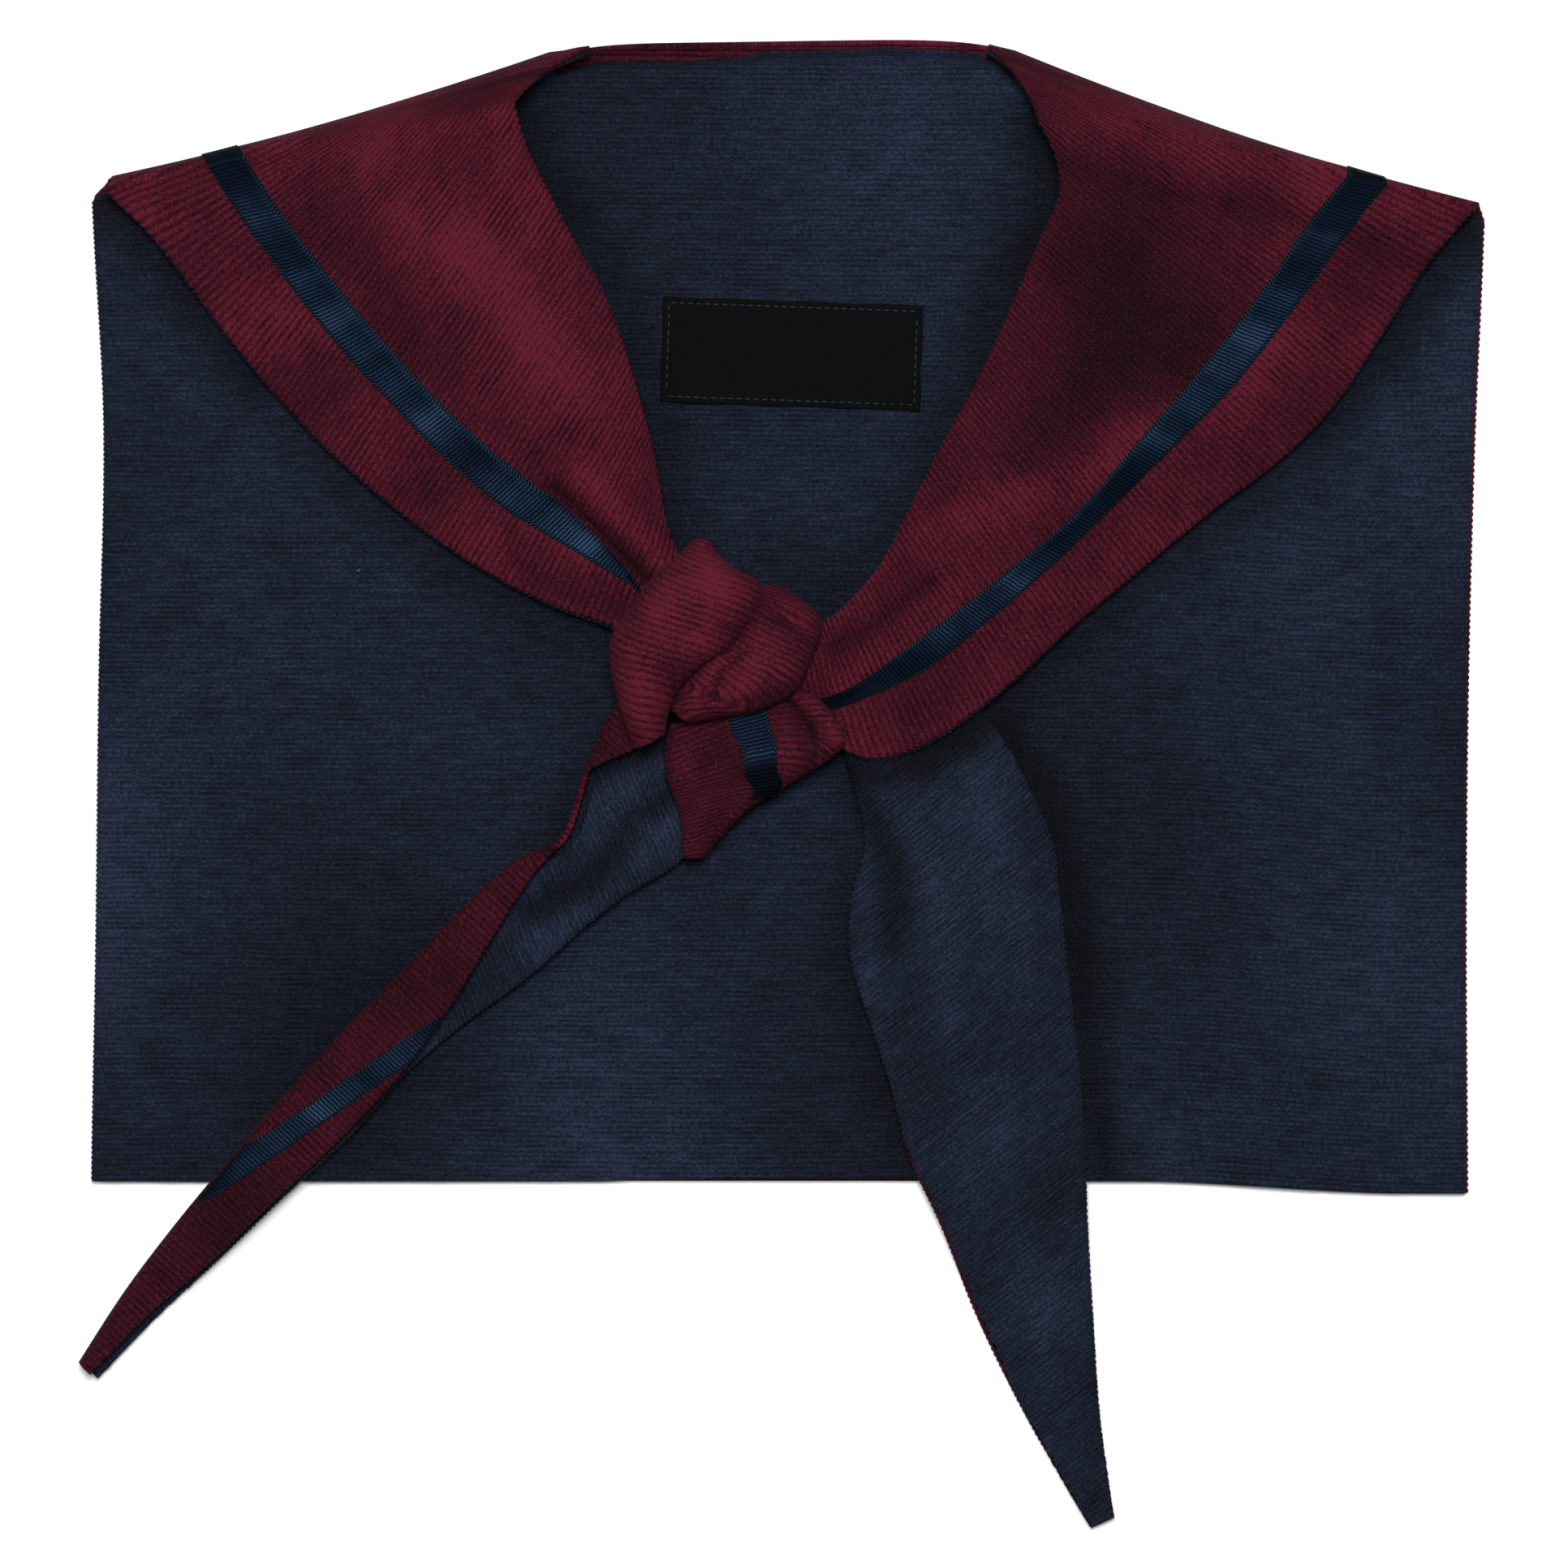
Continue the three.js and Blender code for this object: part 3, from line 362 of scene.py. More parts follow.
def cordMaterial(name, look):
    # corduroy: wales along one value of the mesh, softened by patches of brushed nap and by fuzz
    s = Shader(name)
    # painted shade: the cloth darkens where its surface tilts away from lying flat
    wale, along, nap, turned = s.value("wale"), s.value("along"), s.value("nap"), s.value("turned")
    place = s.vector(wale, along)
    wander = s.noise(place, 0.11, 1.0) - 0.5
    turn = (wale / look["wale"] + wander * 0.5) * (2 * math.pi)
    wave = 0.5 - s.maths("COSINE", turn) * 0.5
    patch = s.noise(place, 0.05, 3.0, 0.6)
    brushed = s.clamp((s.noise(s.vector(wale * 1.4, along), 0.07, 3.0, 0.6) - 0.36) * 3.2, 0.5, 1.0)
    rib = (wave ** look["ribPower"] - 1) * brushed
    pile = s.noise(s.vector(wale * 1.25, along * 0.8), 1.3, 3.0, 0.72)
    fuzz = s.noise(s.vector(wale, along * 0.85), 2.6, 2.0, 0.6)
    lay = s.noise(s.vector(wale, along * 0.22), 0.6, 3.0, 0.6)
    # painted light and shade: the value from the mesh adds painted shade in creases, beside covering pieces
    # and under the knot, and painted light on ridges and lit patches, over random pile tone
    light = s.clamp(look["base"] + rib * look["ribLight"] + (pile - 0.5) * look["pile"]
                    + (lay - 0.5) * look["lay"] + (patch - 0.5) * look["patch"] + nap * look["nap"]
                    - turned * look["turned"])
    colour = s.node("ShaderNodeValToRGB", {"stops": look["stops"]}, Fac=light)
    # light specks on the pile: partly paler fuzz, partly painted glints where fibres catch the light
    speck = s.clamp((fuzz - look["speckFrom"]) * 8)
    colour = s.blend(colour, look["speck"], speck * look["speckShare"])
    fleck = s.node("ShaderNodeTexVoronoi", Vector=s.vector(wale, along * 0.5), Scale=0.06)
    colour = s.blend(colour, look["lint"], s.clamp((0.02 - fleck) * 150) * 0.5)
    height = rib * look["depth"] + pile * look["pileDepth"] + fuzz * (look["pileDepth"] * 0.6)
    return s.finish(colour, height, look["roughness"], Sheen_Weight=look["sheen"],
                    Sheen_Roughness=0.4, Sheen_Tint=look["sheenTint"], Specular_IOR_Level=0.12)


burgundyLook = {
    "wale": cloth["burgundyWale"], "ribPower": 0.55, "depth": 0.42, "pileDepth": 0.2,
    "base": 0.8, "ribLight": 0.72, "pile": 1.8, "lay": 0.5, "patch": 0.5, "nap": 0.3, "turned": 0.15,
    "stops": [(0.0, rgb(17, 0, 5)), (0.35, rgb(34, 1, 10)), (0.7, rgb(53, 6, 20)), (1.0, rgb(80, 18, 34))],
    "speck": rgb(104, 46, 62), "speckFrom": 0.58, "speckShare": 0.5, "lint": rgb(150, 120, 125),
    "roughness": 0.95, "sheen": 0.03, "sheenTint": rgb(190, 80, 112),
}
navyLook = {
    "wale": cloth["navyWale"], "ribPower": 0.7, "depth": 0.26, "pileDepth": 0.18,
    "base": 0.66, "ribLight": 0.42, "pile": 1.8, "lay": 0.8, "patch": 0.3, "nap": 0.3, "turned": 0.4,
    "stops": [(0.0, rgb(2, 4, 9)), (0.35, rgb(9, 13, 22)), (0.7, rgb(19, 25, 40)), (1.0, rgb(33, 41, 60))],
    "speck": rgb(60, 69, 92), "speckFrom": 0.6, "speckShare": 0.4, "lint": rgb(125, 128, 135),
    "roughness": 0.95, "sheen": 0.03, "sheenTint": rgb(110, 130, 170),
}
ribbonLook = {
    "rib": 0.95, "depth": 0.3, "selvedge": 0.82, "twist": 0.9, "turned": 1.9,
    "stops": [(0.0, rgb(2, 5, 11)), (0.45, rgb(12, 23, 39)), (1.0, rgb(54, 76, 106))],
    "selvedgeDark": rgb(3, 10, 16), "selvedgeLight": rgb(28, 54, 66),
}


def ribbonMaterial(name, look):
    # grosgrain: ribs across, a twisted selvedge along each side
    s = Shader(name)
    along, across, turned, shaded = s.value("along"), s.value("across"), s.value("turned"), s.value("shaded")
    place = s.vector(along, across * halfRibbon)
    turn = (along / look["rib"] + (s.noise(place, 0.25, 1.0) - 0.5) * 0.35) * (2 * math.pi)
    rib = (0.5 - s.maths("COSINE", turn) * 0.5) ** 0.7
    grain = s.noise(s.vector(along * 5, across * halfRibbon), 1.4, 2.0, 0.7)
    shine = s.noise(s.vector(along, across * 0.6), 0.06, 2.0)
    shade = s.clamp(1 - turned * look["turned"] - shaded, 0.06)
    light = s.clamp(rib * 0.5 + 0.17 + (grain - 0.5) * 1.1 + (shine - 0.5) * 1.4) * shade
    body = s.node("ShaderNodeValToRGB", {"stops": look["stops"]}, Fac=light)
    side = s.maths("ABSOLUTE", across)
    isSelvedge = s.clamp((side - look["selvedge"]) * 30)
    twist = 0.5 + 0.5 * s.maths("SINE", (along / look["twist"] + side * 3) * (2 * math.pi))
    edge = s.blend(look["selvedgeDark"], look["selvedgeLight"], (twist ** 2) * shade)
    colour = s.blend(body, edge, isSelvedge)
    height = (rib * (1 - isSelvedge) + twist * isSelvedge * 0.8) * look["depth"] + grain * 0.05
    return s.finish(colour, height, 0.7, Specular_IOR_Level=0.03)


labelLook = {
    "twill": 0.42, "depth": 0.06,
    "stops": [(0.0, rgb(1, 1, 1)), (0.6, rgb(8, 9, 10)), (1.0, rgb(19, 22, 23))],
}


def labelMaterial(name, look):
    # satin weave: fine slanting lines with a soft shine
    s = Shader(name)
    along, across = s.value("along"), s.value("across")
    turn = (along * 0.8 + across) / look["twill"] * (2 * math.pi)
    line = 0.5 + 0.5 * s.maths("SINE", turn)
    grain = s.noise(s.vector(along, across), 2.2, 3.0, 0.6)
    light = s.clamp(line * 0.5 + grain * 0.9 - 0.25)
    colour = s.node("ShaderNodeValToRGB", {"stops": look["stops"]}, Fac=light)
    return s.finish(colour, line * look["depth"] + grain * 0.05, 0.85, Specular_IOR_Level=0.05)


burgundyCord = cordMaterial("burgundyCord", burgundyLook)
navyCord = cordMaterial("navyCord", navyLook)
navyRibbon = ribbonMaterial("navyRibbon", ribbonLook)
blackSatin = labelMaterial("blackSatin", labelLook)
print("materials made")


# Wales

def planarWale(points, degrees):
    # straight wales at one direction
    turn = math.radians(degrees)
    x, y = points[..., 0], points[..., 1]
    return y * math.cos(turn) - x * math.sin(turn), x * math.cos(turn) + y * math.sin(turn)


def toothed(points, wale, pitch):
    # pushes the side edges in and out where the wales meet them
    made = points.copy()
    push = (0.5 + 0.5 * np.cos(2 * math.pi * wale / pitch)) * panel["tooth"]
    made[:, 0] += unit(points[:, 1] - points[:, 0]) * push[:, :1]
    made[:, -1] += unit(points[:, -2] - points[:, -1]) * push[:, -1:]
    return made


def trimmedGrid(points, side, lap):
    # the same grid with one side moved in, or out where the lap is negative
    made = points.copy()
    if side == "left":
        made[:, 0] += unit(points[:, 1] - points[:, 0]) * lap
    if side == "right":
        made[:, -1] += unit(points[:, -2] - points[:, -1]) * lap
    if side == "first":
        made[0] += unit(points[1] - points[0]) * lap
    return made


burgundy = {"wale": cloth["burgundyWale"], "material": burgundyCord, "slot": "burgundy_cord"}
navy = {"wale": cloth["navyWale"], "material": navyCord, "slot": "navy_cord"}
layers = {
    "outer": {**burgundy, "reach": outerLayer},
    "lining": {**navy, "reach": liningLayer},
    "both": {**burgundy, "reach": (outerLayer[0], liningLayer[1])},
}


def makeLayer(kind, name, node, points, values, normals, keep=None):
    # one layer of cord and the grid that it ends up with, its side edges toothed by its own wales
    layer = layers[kind]
    grid = toothed(points, values["wale"], layer["wale"])
    piece = clothPiece(name, grid, layer["reach"], values, keep, normals=normals)
    return finishPiece(piece, layer["material"], layer["slot"], node), grid


def makeRibbon(name, node, points, values, layer=ribbonLayer, edgeRound=cloth["ribbonRound"], normals=None):
    piece = clothPiece(name, points, layer, values, edgeRound=edgeRound, normals=normals)
    return finishPiece(piece, navyRibbon, "navy_ribbon", node)


# Back panel

def sideEdge(side, y):
    column = panel["leftSway"] if side < 0 else panel["rightSway"]
    drop = leftFront["drop"] if side < 0 else rightFront["drop"]
    return halfPanel - panel["sideSway"] * between(column, y / (panel["neckHeight"] - drop))


def bottomY(x):
    share = (x / halfPanel - panel["sagFrom"]) / (panel["sagUntil"] - panel["sagFrom"])
    return -panel["bottomSag"] * smooth(share)


def panelZ(x, y):
    fromSides = np.abs(x) - (halfPanel - panel["ribbonInset"])
    fromBottom = panel["ribbonInset"] - y
    return panelLevel + ribbonRise(np.maximum(fromSides, fromBottom))


def foldY(front, x):
    s = np.clip((np.abs(x) - halfNeck) / (halfPanel - halfNeck), 0, 1)
    bulge = panel["foldBulge"] * np.sin(math.pi * s)
    lower = mix(*panel["foldLower"], smooth(s / panel["foldLowerFrom"]))
    top = panel["neckHeight"] - panel["neckDip"] - lower
    return top - (front["drop"] - panel["neckDip"]) * (s + bulge)


def neckEdgeY(x):
    share = smooth(x / panel["neckLowerOver"] + 0.5)
    lower = mix(panel["leftNeckLower"], panel["rightNeckLower"], share)
    return panel["neckHeight"] - lower - panel["neckCornerDip"] * (x / halfNeck) ** 6


# Fronts: side of the panel, fall of the shoulder fold, and sections from the fold to the knot.
# Places are shares of half the panel's width and of the neck's height, lifts are shares of the loft.
frontLoft = 10
leftFront = {
    "side": -1, "drop": 34, "rows": 300, "cornerInset": 5.8, "ribbonLean": -2.8, "neckLean": 9,
    "edgeX": [0.976, 0.901, 0.801, 0.697, 0.585, 0.468, 0.351, 0.246, 0.165],
    "edgeY": [0.866, 0.821, 0.74, 0.665, 0.601, 0.548, 0.508, 0.484, 0.458],
    "ribbonX": [0.794, 0.739, 0.66, 0.57, 0.467, 0.363, 0.269, 0.202, 0.135],
    "ribbonY": [0.888, 0.836, 0.772, 0.708, 0.644, 0.591, 0.557, 0.529, 0.486],
    "neckX": [0.385, 0.368, 0.337, 0.298, 0.256, 0.218, 0.185, 0.159, 0.105],
    "neckY": [0.94, 0.904, 0.865, 0.819, 0.774, 0.708, 0.633, 0.559, 0.514],
    "edgeLift": [0.45, 0.26, 0.22, 0.14, 0.14, 0.14, 0.2, 0.34, 0.3],
    "ribbonLift": [0.75, 0.6, 0.5, 0.45, 0.45, 0.45, 0.42, 0.32, 0.25],
    "middleLift": [1, 0.9, 0.85, 0.85, 0.85, 0.75, 0.6, 0.5, 0.34],
    "neckLift": [0.8, 0.7, 0.6, 0.6, 0.6, 0.6, 0.55, 0.5, 0.34],
    "ribbonWide": [1.07, 1.07, 1.07, 1.03, 1.035, 1.02, 0.96, 0.85, 0.8],
    "ribbonShow": [1, 1, 1, 1, 1, 1, 0.1, -0.7, -0.85],
    "ribbonShade": [0.6, 0.15, 0.05, 0, 0, 0, 0.05, 0.3, 0.6],
    "wales": [20, 40, 52, 55, 56, 58, 64, 74, 82],
    "folds": [
        {"line": [(-91, 238), (-68, 216), (-52, 195)], "height": 2.0, "width": 9},
        {"line": [(-104, 226), (-88, 204), (-72, 190)], "height": -1.3, "width": 7},
        {"line": [(-56, 170), (-44.6, 159.5), (-32, 146)], "height": -3.2, "width": 2.6},
        {"line": [(-48, 172), (-37.6, 160), (-29, 150)], "height": 1.6, "width": 3.5},
        {"line": [(-62, 160), (-49, 153), (-35, 145)], "height": 1.2, "width": 2.6},
        {"line": [(-66, 152), (-55, 145), (-40, 140)], "height": -1.4, "width": 2.4},
        {"line": [(-64, 262), (-92, 254), (-118, 250)], "height": 0.6, "width": 4},
    ],
    # painted light and shade in broad patches over this front
    "paintedShading": [
        {"line": [(-80, 240), (-60, 205)], "height": 0.25, "width": 24},
        {"line": [(-112, 230), (-84, 190)], "height": -0.25, "width": 9},
    ],
}
rightFront = {
    "side": 1, "drop": 39.5, "rows": 340, "cornerInset": 2.2, "ribbonLean": 2.8, "neckLean": 7,
    "edgeX": [0.99, 0.925, 0.861, 0.794, 0.716, 0.613, 0.51, 0.412, 0.32, 0.215, 0.127, 0.06],
    "edgeY": [0.849, 0.804, 0.744, 0.682, 0.633, 0.586, 0.534, 0.484, 0.433, 0.386, 0.369, 0.386],
    "ribbonX": [0.83, 0.784, 0.702, 0.612, 0.519, 0.432, 0.353, 0.268, 0.18, 0.104, 0.055, 0.015],
    "ribbonY": [0.873, 0.84, 0.767, 0.695, 0.636, 0.58, 0.536, 0.493, 0.452, 0.431, 0.422, 0.424],
    "neckX": [0.363, 0.387, 0.391, 0.364, 0.326, 0.282, 0.233, 0.187, 0.145, 0.087, 0.035, -0.02],
    "neckY": [0.922, 0.893, 0.86, 0.822, 0.767, 0.708, 0.653, 0.598, 0.546, 0.505, 0.482, 0.463],
    "edgeLift": [0.45, 0.3, 0.26, 0.2, 0.14, 0.14, 0.16, 0.2, 0.4, 0.5, 0.46, 0.42],
    "ribbonLift": [0.75, 0.65, 0.55, 0.5, 0.6, 0.65, 0.6, 0.55, 0.5, 0.42, 0.38, 0.36],
    "middleLift": [1.05, 0.95, 0.85, 0.85, 0.9, 0.9, 0.85, 0.75, 0.65, 0.55, 0.5, 0.45],
    "neckLift": [0.85, 0.8, 0.75, 0.7, 0.65, 0.6, 0.6, 0.55, 0.5, 0.45, 0.4, 0.38],
    "ribbonWide": [1.13, 1.1, 1.07, 1.05, 0.89, 0.74, 0.82, 0.89, 0.88, 0.78, 0.74, 0.74],
    "ribbonShow": [1, 1, 1, 1, 1, 1, 1, 1, 1, 0.5, 0.2, -0.2],
    "ribbonShade": [0.5, 0.3, 0.05, 0, 0, 0, 0, 0.05, 0.2, 0.55, 0.8, 0.9],
    "wales": [156, 148, 142, 138, 134, 130, 127, 123, 119, 112, 104, 98],
    "folds": [
        {"line": [(45, 163), (71, 173), (103, 191), (119, 205)], "height": 2.0, "width": 8},
        {"line": [(67, 248), (100, 240), (135, 233), (157, 225)], "height": -1.2, "width": 4},
        {"line": [(70, 262), (110, 251), (150, 240)], "height": 0.9, "width": 6},
        {"line": [(75, 225), (95, 200)], "height": -1.2, "width": 16},
        {"line": [(12, 131), (22, 136), (36, 147)], "height": -1.8, "width": 2.4},
        {"line": [(8, 138), (18, 145), (34, 160)], "height": 1.0, "width": 3},
        {"line": [(14, 122), (24, 126), (40, 134)], "height": 1.0, "width": 3.5},
    ],
    # painted light and shade in broad patches over this front
    "paintedShading": [
        {"line": [(80, 228), (95, 205), (70, 190)], "height": -1.5, "width": 20},
        {"line": [(30, 146), (58, 176)], "height": -0.5, "width": 12},
        {"line": [(40, 160), (75, 176), (110, 196)], "height": 0.6, "width": 8},
        {"line": [(75, 262), (130, 248)], "height": 0.35, "width": 9},
    ],
}
rollRows = 18
roll = {"leanWidth": 0.8, "neckFade": 5}
frontFade = {"shoulder": 0.12, "knot": 0.03, "edge": 0.6, "ripple": 0.1}
# places over a front, from the edge through the ribbon and the middle to the neck
ribbonPlace, neckPlace = 1.5, 3
liftPlaces = {"edge": 0, "ribbon": ribbonPlace, "middle": 2.42, "neck": neckPlace}
waleSearch = {"from": -0.25, "samples": 400, "rounds": 40, "step": 0.0035}
frontColumns = np.concatenate([
    np.linspace(0, 1, 12)[:-1], np.linspace(1, 2, 5)[:-1], 2 + np.linspace(0, 1, 26) ** 1.05,
])


def frontLift(front, t, a):
    # a smooth curve through the lifts of the edge, the ribbon, the middle and the neck edge
    places = list(liftPlaces.values())
    lifts = [between(front[key + "Lift"], t) for key in liftPlaces]
    made = np.zeros(np.broadcast(t, a).shape)
    for i in range(3):
        slopes = []
        for k in (i, i + 1):
            before, after = max(k - 1, 0), min(k + 1, 3)
            slopes.append((lifts[after] - lifts[before]) / (places[after] - places[before]))
        width = places[i + 1] - places[i]
        u = (a - places[i]) / width
        inside = (a >= places[i]) & (a <= places[i + 1])
        bend = u * (1 - u) * width
        value = mix(lifts[i], lifts[i + 1], smooth(u)) + bend * (slopes[0] * (1 - u) - slopes[1] * u)
        made = np.where(inside, value, made)
    return made


def frontPlace(front, key, t):
    x = front["side"] * between(front[key + "X"], t) * halfPanel
    return stack(x, between(front[key + "Y"], t) * panel["neckHeight"])


def frontPoints(front, t, a):
    edge, ribbon, neck = (frontPlace(front, key, t) for key in ("edge", "ribbon", "neck"))
    wide = between(front["ribbonWide"], t)
    show = between(front["ribbonShow"], t)
    flat = acrossStrip(edge, ribbon, neck, a, wide[..., None], show[..., None])
    x, y = flat[..., 0], flat[..., 1]
    z = frontLevel + frontLoft * frontLift(front, t, a)
    # the folds fade out towards the shoulder roll and the cut edge
    fade = (smooth(t / frontFade["shoulder"]) * smooth((1 - t) / frontFade["knot"])
            * smooth(a / frontFade["edge"]))
    z = z + fade * foldHeight(x, y, front["folds"])
    z = z + smooth(t / frontFade["ripple"]) * ripple(x, y, "front")
    return stack(x, y, z)


def panelX(front, y, a):
    edge = stack(sideEdge(front["side"], y), 0.0)
    ribbon = stack(halfPanel - panel["ribbonInset"] + 0 * y, 0.0)
    neck = stack(halfNeck + 0 * y, 0.0)
    return front["side"] * acrossStrip(edge, ribbon, neck, a)[..., 0]


def rollPoints(front, angle, a):
    # a round quarter up to the fold's outline, then a longer one over onto the front
    end = frontPoints(front, np.zeros_like(a), a)
    x = panelX(front, np.full_like(a, panel["neckHeight"] - front["drop"]), a)
    startZ = panelLevel + ribbonRise(np.abs(x) - (halfPanel - panel["ribbonInset"]))
    # the outer corner of the fold is rounded off, and the ribbon leans over it
    risen = np.sin(angle)
    isFirst = angle < math.pi / 2
    lean = front["ribbonLean"] * np.exp(-((a - ribbonPlace) / roll["leanWidth"]) ** 2)
    shift = lean - front["cornerInset"] * (1 - smooth(a))
    x = x + front["side"] * shift * np.where(isFirst, risen ** 2, 1)
    # the neck's corner leans in over the panel where the roll turns over
    over = np.where(isFirst, smooth(angle * 6 / math.pi - 2), risen ** 2)
    x = x - front["side"] * front["neckLean"] * over * smooth(a - 2)
    inNeck = smooth((halfNeck - np.abs(x)) / roll["neckFade"])
    neckY = neckEdgeY(np.clip(x, -halfNeck, halfNeck)) - panel["neckStep"]
    topY = mix(foldY(front, x), neckY, inNeck)
    radius = (end[..., 2] - startZ) / 2
    return stack(
        np.where(isFirst, x, mix(end[..., 0], x, risen)),
        np.where(isFirst, topY - radius * (1 - risen), mix(end[..., 1], topY, risen)),
        mix(startZ, end[..., 2], (1 - np.cos(angle)) / 2),
    )


def frontGrid(front):
    a = frontColumns if front["side"] < 0 else frontColumns[::-1]
    angle = np.linspace(0, math.pi, rollRows)[:, None]
    start = rollPoints(front, angle, np.broadcast_to(a[None, :], (rollRows, len(a))))
    # the roll laid out flat past the fold, for its wales
    slope = math.atan2(front["drop"], halfPanel - halfNeck)
    away = arcAlong(start[::-1])[::-1, :, None]
    laid = start[-1, :, :2] + away * np.array([front["side"] * math.sin(slope), math.cos(slope)])
    t = np.linspace(0, 1, front["rows"])[:, None]
    rest = frontPoints(front, t, np.broadcast_to(a[None, :], (front["rows"], len(a))))
    return np.concatenate([start[:-1], rest]), np.concatenate([laid[:-1], rest[..., :2]]), t


def frontWale(front, laid, t):
    # wales cross the ribbon at their own angle at each place, and run straight from there
    samples = np.linspace(waleSearch["from"], 1, waleSearch["samples"])
    ribbon = frontPlace(front, "ribbon", np.clip(samples, 0, 1))
    start = frontPlace(front, "ribbon", np.array([0.0, 0.02]))
    ribbon[samples < 0] = start[0] + (start[1] - start[0]) / 0.02 * samples[samples < 0][:, None]
    turn = np.radians(between(front["wales"], np.clip(samples, 0, 1)))
    step = np.diff(ribbon, axis=0, prepend=ribbon[:1])
    spacing = np.abs(step[:, 0] * np.sin(turn) - step[:, 1] * np.cos(turn))
    count = np.cumsum(spacing)
    guess = np.concatenate([np.full(rollRows - 1, 0.0), t[:, 0]])[:, None] + np.zeros(laid.shape[:2])
    for _ in range(waleSearch["rounds"]):
        x = np.interp(guess, samples, ribbon[:, 0])
        y = np.interp(guess, samples, ribbon[:, 1])
        angle = np.interp(guess, samples, turn)
        off = (laid[..., 0] - x) * np.sin(angle) - (laid[..., 1] - y) * np.cos(angle)
        guess = np.clip(guess - front["side"] * off * waleSearch["step"], waleSearch["from"], 1)
    wale = np.interp(guess, samples, count)
    along = (laid[..., 0] - x) * np.cos(angle) + (laid[..., 1] - y) * np.sin(angle)
    return wale + off * -front["side"], along


def makeFront(front, name):
    points, laid, t = frontGrid(front)
    normals = normalsOf(points)
    wale, along = frontWale(front, laid, t)
    # painted shade and light from the patches and the folds, over random tone
    nap = foldsOn(points, front["paintedShading"]) + cloth["creaseShade"] * foldsOn(points, front["folds"])
    nap = nap + rippleOn(points, "frontNap")
    values = {"wale": wale, "along": along, "nap": nap}
    lower = name.lower()
    piece, outer = makeLayer("outer", f"front{name}Outer", f"front_{lower}_outer", points, values, normals)
    lap = mix(panel["edgeLap"], -panel["frontLap"], smooth(np.arange(len(points)) / rollRows - 1))
    lining = trimmedGrid(points, "left" if front["side"] < 0 else "right", lap[:, None])
    under, lining = makeLayer("lining", f"front{name}Lining", f"front_{lower}_lining", lining, values,
                              normals)
    declareSheet(under, lining, "folded", "backLining")
    columns = frontColumns if front["side"] < 0 else frontColumns[::-1]
    chosen = np.where((columns >= 1 - 1e-9) & (columns <= 2 + 1e-9))[0]
    strip, stripNormals = points[:, chosen], normals[:, chosen]
    show = between(front["ribbonShow"], np.concatenate([np.zeros(rollRows - 1), t[:, 0]]))[:, None]
    across = -1 + (columns[chosen] - 1)[None, :] * (1 + show)
    length = arcAlong(strip[:, len(chosen) // 2])[:, None]
    shaded = between(front["ribbonShade"], np.concatenate([np.zeros(rollRows - 1), t[:, 0]]))[:, None]
    stripe = makeRibbon(f"stripeFront{name}", f"ribbon_front_{lower}", strip,
                        {"along": length, "across": across, "shaded": shaded}, normals=stripNormals)
    declareSheet(piece, outer, "folded", f"front{name}Lining", withPieces=[stripe])


def coverShades():
    # painted shadow lies along the edges of all that covers the panel, and deepest in the shoulder folds
    t = np.linspace(0, 1, 14)
    shades = []
    for front in (leftFront, rightFront):
        for key in ("edge", "neck"):
            line = frontPlace(front, key, t)
            shades.append({"line": line[:-1], "height": -0.8, "width": 8})
            shades.append({"line": line[:5], "height": -0.7, "width": 6})
    for line in ([(-34, 118), (-58, 78), (-104, 34)], [(20, 104), (17, 56), (36, 0)]):
        shades.append({"line": line, "height": -0.9, "width": 8})
    shades.append({"line": [(54, 111), (65, 94), (70, 74), (74, 41), (79, 0)], "height": -1.7, "width": 5})
    shades.append({"line": [(-6, 140), (4, 150)], "height": -0.8, "width": 14})
    return shades


